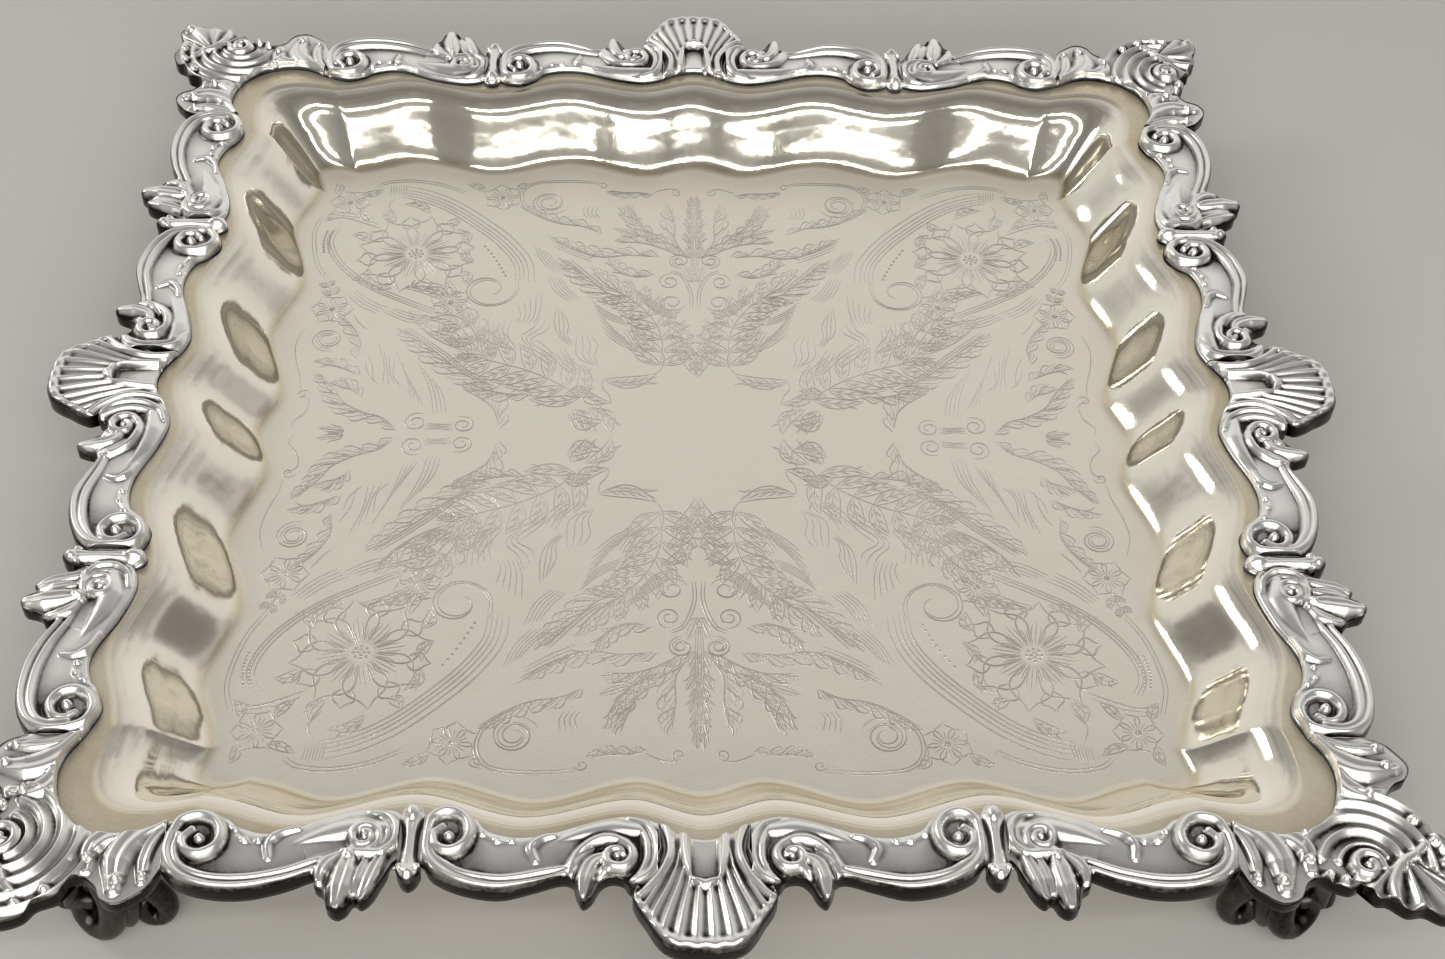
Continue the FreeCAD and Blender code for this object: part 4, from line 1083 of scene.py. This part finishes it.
def foot_bars():
    """The cast scrolls of a foot at the back right corner: path in fractions of the reach and
    heights in millimetres, with radii in millimetres."""
    bars = [([(0.800, 0.800, 26.0), (0.812, 0.812, 19.0), (0.826, 0.826, 11.0), (0.830, 0.830, 3.2)],
             (4.2, 3.2, 2.6, 3.2))]
    for a, b in ((0, 1), (1, 0)):
        def swap(points):
            return [(p[a], p[b], p[2]) for p in points]
        bars.append((swap([(0.792, 0.812, 26.0), (0.772, 0.846, 21.5), (0.756, 0.866, 14.5),
                           (0.762, 0.874, 7.0), (0.782, 0.868, 3.4), (0.802, 0.856, 5.2),
                           (0.804, 0.852, 9.6), (0.792, 0.856, 12.0), (0.784, 0.860, 9.0)]),
                     (3.4, 3.6, 3.4, 3.0, 2.4, 2.0)))
        bars.append((swap([(0.768, 0.846, 25.5), (0.738, 0.852, 20.5), (0.708, 0.850, 14.0),
                           (0.696, 0.848, 7.5), (0.706, 0.848, 3.0), (0.724, 0.850, 3.6),
                           (0.728, 0.850, 8.0), (0.716, 0.850, 9.8)]), (3.0, 3.2, 2.8, 2.6, 2.2, 1.8)))
        bars.append((swap([(0.742, 0.856, 20.0), (0.736, 0.862, 13.5), (0.741, 0.862, 7.0),
                           (0.748, 0.858, 3.0)]), (2.2, 2.6, 2.3, 1.8)))
        bars.append((swap([(0.800, 0.840, 19.0), (0.812, 0.848, 13.0), (0.818, 0.848, 7.0)]),
                     (2.0, 2.4, 1.8)))
    return bars


def build_feet():
    """The same cast foot at every corner, with painted shade that grows darker towards the table."""
    for corner, degrees in CORNERS:
        vertices, faces, count = [], [], 0
        for path, radii in foot_bars():
            scaled = [(x * REACH, y * REACH, z * MM) for x, y, z in path]
            part, quads = tube(scaled, [r * MM for r in radii])
            faces += [[index + count for index in quad] for quad in quads]
            vertices.append(part)
            count += len(part)
        placed = turned(np.vstack(vertices), degrees)
        # Painted shade: the castings are painted dark for the shade under the tray, darker still towards
        # the table.
        low = np.clip(1 - placed[:, 2] / FOOT_HEIGHT, 0, 1)
        mesh_piece(f"foot_cast_{corner}", placed, faces, foot_silver(),
                   [f"foot_{corner}"], {"patina_and_painted_light": 0.75 + 0.25 * low})


# ---- Materials

def feed(tree, socket, value):
    """Sets a socket to a number, or links another node's output to it."""
    if isinstance(value, (int, float)):
        socket.default_value = value
    else:
        tree.links.new(value, socket)


def math_node(tree, operation, *values):
    """One operation on the given values, each a number or another node's output."""
    node = tree.nodes.new("ShaderNodeMath")
    node.operation = operation
    for socket, value in zip(node.inputs, values):
        feed(tree, socket, value)
    return node.outputs[0]


def map_range(tree, value, low, high, start=0.0, end=1.0, interpolation="LINEAR"):
    """A value that goes from low to high as the given one goes from start to end."""
    node = tree.nodes.new("ShaderNodeMapRange")
    node.interpolation_type = interpolation
    for socket, setting in (("Value", value), ("From Min", start), ("From Max", end),
                            ("To Min", low), ("To Max", high)):
        feed(tree, node.inputs[socket], setting)
    return node.outputs["Result"]


def noise(tree, place, scale, detail):
    """A cloud with the given scale and detail."""
    node = tree.nodes.new("ShaderNodeTexNoise")
    node.inputs["Scale"].default_value = scale
    node.inputs["Detail"].default_value = detail
    tree.links.new(place, node.inputs["Vector"])
    return node.outputs["Fac"]


def bump(tree, strength, height, distance, normal=None):
    """A normal bent by a height, over an earlier normal if there is one."""
    node = tree.nodes.new("ShaderNodeBump")
    node.inputs["Distance"].default_value = distance
    tree.links.new(strength, node.inputs["Strength"])
    tree.links.new(height, node.inputs["Height"])
    if normal:
        tree.links.new(normal, node.inputs["Normal"])
    return node.outputs["Normal"]


def mask_value(tree, mask):
    """The value of one of a piece's masks."""
    node = tree.nodes.new("ShaderNodeAttribute")
    node.attribute_name = mask
    return node.outputs["Fac"]


def node_group(name, inputs, output):
    """An empty shader node group with its sockets: (name, kind, default) and (name, kind)."""
    group = bpy.data.node_groups.new(name, "ShaderNodeTree")
    for socket, kind, default in inputs:
        group.interface.new_socket(socket, in_out="INPUT", socket_type=kind).default_value = default
    group.interface.new_socket(output[0], in_out="OUTPUT", socket_type=output[1])
    return group, group.nodes.new("NodeGroupInput"), group.nodes.new("NodeGroupOutput")


def darkened_colour_group():
    """Bright metal that darkens where a mask says, broken up by two sizes of cloud."""
    name = "Aged colour"
    if name in bpy.data.node_groups:
        return bpy.data.node_groups[name]
    group, given, out = node_group(
        name, [("Mask", "NodeSocketFloat", 0.0), ("Bright", "NodeSocketColor", (0.8, 0.8, 0.8, 1)),
               ("Darkened", "NodeSocketColor", (0.1, 0.1, 0.1, 1))], ("Color", "NodeSocketColor"))
    place = group.nodes.new("ShaderNodeTexCoord").outputs["Object"]
    spread = math_node(group, "MULTIPLY_ADD", noise(group, place, 60, 6), 1.3, 0.30)
    speckle = math_node(group, "MULTIPLY_ADD", noise(group, place, 900, 3), 0.5, 0.75)
    shaded = math_node(group, "MULTIPLY", given.outputs["Mask"], spread)
    amount = math_node(group, "MULTIPLY", shaded, speckle)
    amount.node.use_clamp = True
    mix = group.nodes.new("ShaderNodeMix")
    mix.data_type = "RGBA"
    for socket, value in (("Factor", amount), ("A", given.outputs["Bright"]), ("B", given.outputs["Darkened"])):
        group.links.new(value, mix.inputs[socket])
    group.links.new(mix.outputs["Result"], out.inputs["Color"])
    return group


def hairline_group():
    """The soft dents, polishing hairlines and satin grain of old plate, as a normal."""
    name = "Hairlines"
    if name in bpy.data.node_groups:
        return bpy.data.node_groups[name]
    group, given, out = node_group(
        name, [("Dents", "NodeSocketFloat", 0.1), ("Lines", "NodeSocketFloat", 0.05),
               ("Grain", "NodeSocketFloat", 0.0)], ("Normal", "NodeSocketVector"))
    place = group.nodes.new("ShaderNodeTexCoord").outputs["Object"]
    stretch = group.nodes.new("ShaderNodeMapping")
    stretch.inputs["Scale"].default_value = (700, 60, 300)
    stretch.inputs["Rotation"].default_value = (0, 0, 0.4)
    group.links.new(place, stretch.inputs["Vector"])
    dented = bump(group, given.outputs["Dents"], noise(group, place, 110, 2), 0.4 * MM)
    lines = noise(group, stretch.outputs["Vector"], 4, 4)
    lined = bump(group, given.outputs["Lines"], lines, 0.05 * MM, dented)
    grained = bump(group, given.outputs["Grain"], noise(group, place, 1500, 1), 0.08 * MM, lined)
    group.links.new(grained, out.inputs["Normal"])
    return group


def silver(name, bright, darkened, mask, roughness, dents, lines):
    """Plated metal darkened by a mask, under dents and hairlines: the material, and its shader and
    finish nodes. The mask holds tarnish, patina, painted shade and painted highlights, as each piece has
    them."""
    material = bpy.data.materials.new(name)
    material.use_nodes = True
    tree = material.node_tree
    shader = tree.nodes["Principled BSDF"]
    shader.inputs["Metallic"].default_value = 1.0
    shader.inputs["Roughness"].default_value = roughness
    colour = tree.nodes.new("ShaderNodeGroup")
    colour.node_tree = darkened_colour_group()
    colour.inputs["Bright"].default_value = (*bright, 1)
    colour.inputs["Darkened"].default_value = (*darkened, 1)
    tree.links.new(mask_value(tree, mask), colour.inputs["Mask"])
    tree.links.new(colour.outputs["Color"], shader.inputs["Base Color"])
    finish = tree.nodes.new("ShaderNodeGroup")
    finish.node_tree = hairline_group()
    finish.inputs["Dents"].default_value = dents
    finish.inputs["Lines"].default_value = lines
    tree.links.new(finish.outputs["Normal"], shader.inputs["Normal"])
    return material, shader, finish


def mount_silver():
    """Polished cast mounts with patina in their hollows, and painted shade along their outer edges and
    undersides.
    """
    name = "Cast silver plate"
    return bpy.data.materials.get(name) or silver(
        name, settings().cast_colour, (0.030, 0.026, 0.022), "patina_and_painted_light", settings().cast_roughness,
        0.10, 0.10)[0]


def foot_silver():
    """Castings painted dark as shade, for the shadow they stand in under the tray."""
    name = "Foot silver plate"
    return bpy.data.materials.get(name) or silver(
        name, (0.26, 0.245, 0.23), (0.018, 0.015, 0.013), "patina_and_painted_light", settings().cast_roughness + 0.04,
        0.12, 0.10)[0]


def engraved_silver():
    """Cuts with a painted highlight on one burr, painted shade on the other flank, and tarnish with painted
    shade in their bottom.
    """
    name = "Engraved silver plate"
    # The bright colour is a painted highlight on one burr; the dark one is painted shade, with tarnish in
    # the bottom of the cut.
    return bpy.data.materials.get(name) or silver(
        name, (0.97, 0.94, 0.86), (0.31, 0.265, 0.185), "patina_and_painted_light", 0.26, 0.0, 0.0)[0]


def tray_silver():
    """Wall and floor in one sheet: the satin mask roughens and grains the floor."""
    material, shader, finish = silver("Tray silver plate", settings().sheet_colour,
                                      settings().tarnish_colour, "tarnish",
                                      settings().wall_roughness, 0.30, 0.14)
    tree = material.node_tree
    satin = mask_value(tree, "satin")
    for socket, wall, floor in ((shader.inputs["Roughness"], settings().wall_roughness,
                                 settings().floor_roughness),
                                (shader.inputs["Metallic"], 1.0, 0.78), (finish.inputs["Grain"], 0.0, 0.5)):
        tree.links.new(map_range(tree, satin, wall, floor), socket)
    return material


# ---- The stage

LAMPS = [("panel_low", (0.05, -1.45, 0.74), (1.95, 0.40), 11),
         ("panel_middle", (0.05, -1.15, 1.12), (1.95, 0.08), 5.0),
         ("panel_high", (0.05, -0.80, 1.38), (1.95, 0.08), 5.0),
         ("side_window", (-1.3, 0.5, 0.9), (0.5, 0.4), 4)]
ROOM_TONES = [(0.0, 0.50), (0.16, 0.40), (0.32, 0.24), (0.54, 0.33), (0.64, 0.55), (0.74, 0.82),
              (1.0, 0.94)]
ROOM_STRENGTH = 0.88
CAMERA_AT = (-0.0644, -2.2278)
CAMERA_PAN, CAMERA_TILT, CAMERA_ROLL = -0.0487, 0.7605, 0.0425
CAMERA_LENS = 49.15


def build_floor():
    """A plain pale floor."""
    span = np.linspace(-3.0, 3.0, 3)
    x, y = np.meshgrid(span, span)
    vertices = np.column_stack([x.ravel(), y.ravel(), np.zeros(x.size)])
    mesh = bpy.data.meshes.new("studio_floor")
    mesh.from_pydata(vertices.tolist(), [], grid_faces(3, 3, flip=True))
    material = bpy.data.materials.new("Studio floor")
    material.use_nodes = True
    shader = material.node_tree.nodes["Principled BSDF"]
    shader.inputs["Base Color"].default_value = (0.56, 0.55, 0.52, 1)
    shader.inputs["Roughness"].default_value = 0.8
    mesh.materials.append(material)
    new_object("studio_floor", mesh)


def build_lamp(name, at, size, power):
    """A soft panel that faces the salver."""
    light = bpy.data.lights.new(name, "AREA")
    light.shape = "RECTANGLE"
    light.size, light.size_y = size
    light.energy = power
    light.color = (1, 0.98, 0.95)
    lamp = new_object(name, light)
    lamp.location = at
    lamp.rotation_euler = (Vector((0, 0, SEAT)) - Vector(at)).to_track_quat("-Z", "Y").to_euler()


def build_room():
    """A pale room, brighter beyond the salver than behind the camera, with a dark door on each side."""
    world = bpy.data.worlds.new("Studio")
    world.use_nodes = True
    bpy.context.scene.world = world
    tree = world.node_tree
    place = tree.nodes.new("ShaderNodeTexCoord").outputs["Generated"]
    split = tree.nodes.new("ShaderNodeSeparateXYZ")
    tree.links.new(place, split.inputs["Vector"])
    slant = math_node(tree, "MULTIPLY_ADD", split.outputs["Z"], -0.6, split.outputs["Y"])
    shade = math_node(tree, "MULTIPLY_ADD", noise(tree, place, 4.5, 1.5), 0.55, slant)
    doors = map_range(tree, math_node(tree, "ABSOLUTE", split.outputs["X"]), 0.0, -0.90, 0.92, 0.99,
                      "SMOOTHSTEP")
    ramp = tree.nodes.new("ShaderNodeValToRGB")
    stops = ramp.color_ramp.elements
    stops.remove(stops[1])
    stops[0].color = (ROOM_TONES[0][1],) * 3 + (1,)
    for position, grey in ROOM_TONES[1:]:
        stops.new(position).color = (grey, grey * 0.99, grey * 0.97, 1)
    tone = map_range(tree, math_node(tree, "ADD", shade, doors), 0.0, 1.0, -1.2, 1.2)
    tree.links.new(tone, ramp.inputs["Fac"])
    background = tree.nodes["Background"]
    background.inputs["Strength"].default_value = ROOM_STRENGTH
    tree.links.new(ramp.outputs["Color"], background.inputs["Color"])


def build_camera():
    """The camera, held high in front of the salver and tilted down to it."""
    camera = bpy.data.cameras.new("Camera")
    camera.sensor_width = 36.0
    camera.lens = CAMERA_LENS
    view = new_object("Camera", camera)
    view.rotation_euler = (Matrix.Rotation(CAMERA_PAN, 3, "Z") @ Matrix.Rotation(CAMERA_TILT, 3, "X")
                           @ Matrix.Rotation(CAMERA_ROLL, 3, "Z")).to_euler()
    view.location = (CAMERA_AT[0] * REACH, CAMERA_AT[1] * REACH, SEAT + settings().eye_height)
    bpy.context.scene.camera = view
    bpy.context.scene.view_settings.view_transform = "Standard"


# ---- Operators

class SALVER_OT_stage(bpy.types.Operator):
    """Build the pale floor, the room with its soft lamps, and the camera"""
    bl_idname = "salver.stage"
    bl_label = "Stage"

    def execute(self, context):
        build_floor()
        build_room()
        for name, at, size, power in LAMPS:
            build_lamp(name, at, size, power)
        build_camera()
        return {"FINISHED"}


class SALVER_OT_tray(bpy.types.Operator):
    """Build the tray, pressed from one sheet: floor, fluted wall and flange"""
    bl_idname = "salver.tray"
    bl_label = "Tray"

    def execute(self, context):
        build_tray()
        return {"FINISHED"}


class SALVER_OT_engraving(bpy.types.Operator):
    """Engrave the floor of the tray"""
    bl_idname = "salver.engraving"
    bl_label = "Engraving"

    def execute(self, context):
        build_engraving()
        return {"FINISHED"}


class SALVER_OT_shells(bpy.types.Operator):
    """Build the four shells at the middles of the sides"""
    bl_idname = "salver.shells"
    bl_label = "Shells"

    def execute(self, context):
        build_shells()
        return {"FINISHED"}


class SALVER_OT_scrolls(bpy.types.Operator):
    """Build the inner and the outer scrolls of the border"""
    bl_idname = "salver.scrolls"
    bl_label = "Scrolls"

    def execute(self, context):
        place_on_sides(Cast(INNER_EDGE, INNER_OUTLINE, inner_scroll_relief), "inner_scroll_cast",
                       "inner_scroll")
        place_on_sides(Cast(OUTER_EDGE, OUTER_OUTLINE, outer_scroll_relief), "outer_scroll_cast",
                       "outer_scroll")
        return {"FINISHED"}


class SALVER_OT_ties(bpy.types.Operator):
    """Build the leaf ties between the scrolls"""
    bl_idname = "salver.ties"
    bl_label = "Leaf ties"

    def execute(self, context):
        edge, outline = ([(TIE_AT + u, v) for u, v in line] for line in (TIE_EDGE, TIE_OUTLINE))
        place_on_sides(Cast(edge, outline, tie_relief), "leaf_tie_cast", "leaf_tie")
        return {"FINISHED"}


class SALVER_OT_corners(bpy.types.Operator):
    """Build the four corner mounts"""
    bl_idname = "salver.corners"
    bl_label = "Corners"

    def execute(self, context):
        build_corners()
        return {"FINISHED"}


class SALVER_OT_feet(bpy.types.Operator):
    """Build the four cast feet"""
    bl_idname = "salver.feet"
    bl_label = "Feet"

    def execute(self, context):
        build_feet()
        return {"FINISHED"}


class SALVER_PT_panel(bpy.types.Panel):
    """The salver's pieces, one button each"""
    bl_idname = "SALVER_PT_panel"
    bl_label = "Footed Salver"
    bl_space_type = "VIEW_3D"
    bl_region_type = "UI"
    bl_category = "Salver"

    def draw(self, context):
        for name in SalverSettings.__annotations__:
            self.layout.prop(settings(), name)
        for operator in OPERATORS:
            self.layout.operator(operator.bl_idname)


OPERATORS = [SALVER_OT_stage, SALVER_OT_tray, SALVER_OT_engraving, SALVER_OT_shells, SALVER_OT_scrolls,
             SALVER_OT_ties, SALVER_OT_corners, SALVER_OT_feet]
CLASSES = [SalverSettings] + OPERATORS + [SALVER_PT_panel]


def register():
    for cls in CLASSES:
        bpy.utils.register_class(cls)
    bpy.types.Scene.salver = PointerProperty(type=SalverSettings)


def unregister():
    del bpy.types.Scene.salver
    for cls in reversed(CLASSES):
        bpy.utils.unregister_class(cls)


def main():
    register()
    bpy.ops.salver.stage()
    bpy.ops.salver.tray()
    bpy.ops.salver.engraving()
    bpy.ops.salver.shells()
    bpy.ops.salver.scrolls()
    bpy.ops.salver.ties()
    bpy.ops.salver.corners()
    bpy.ops.salver.feet()


if __name__ == "__main__":
    main()
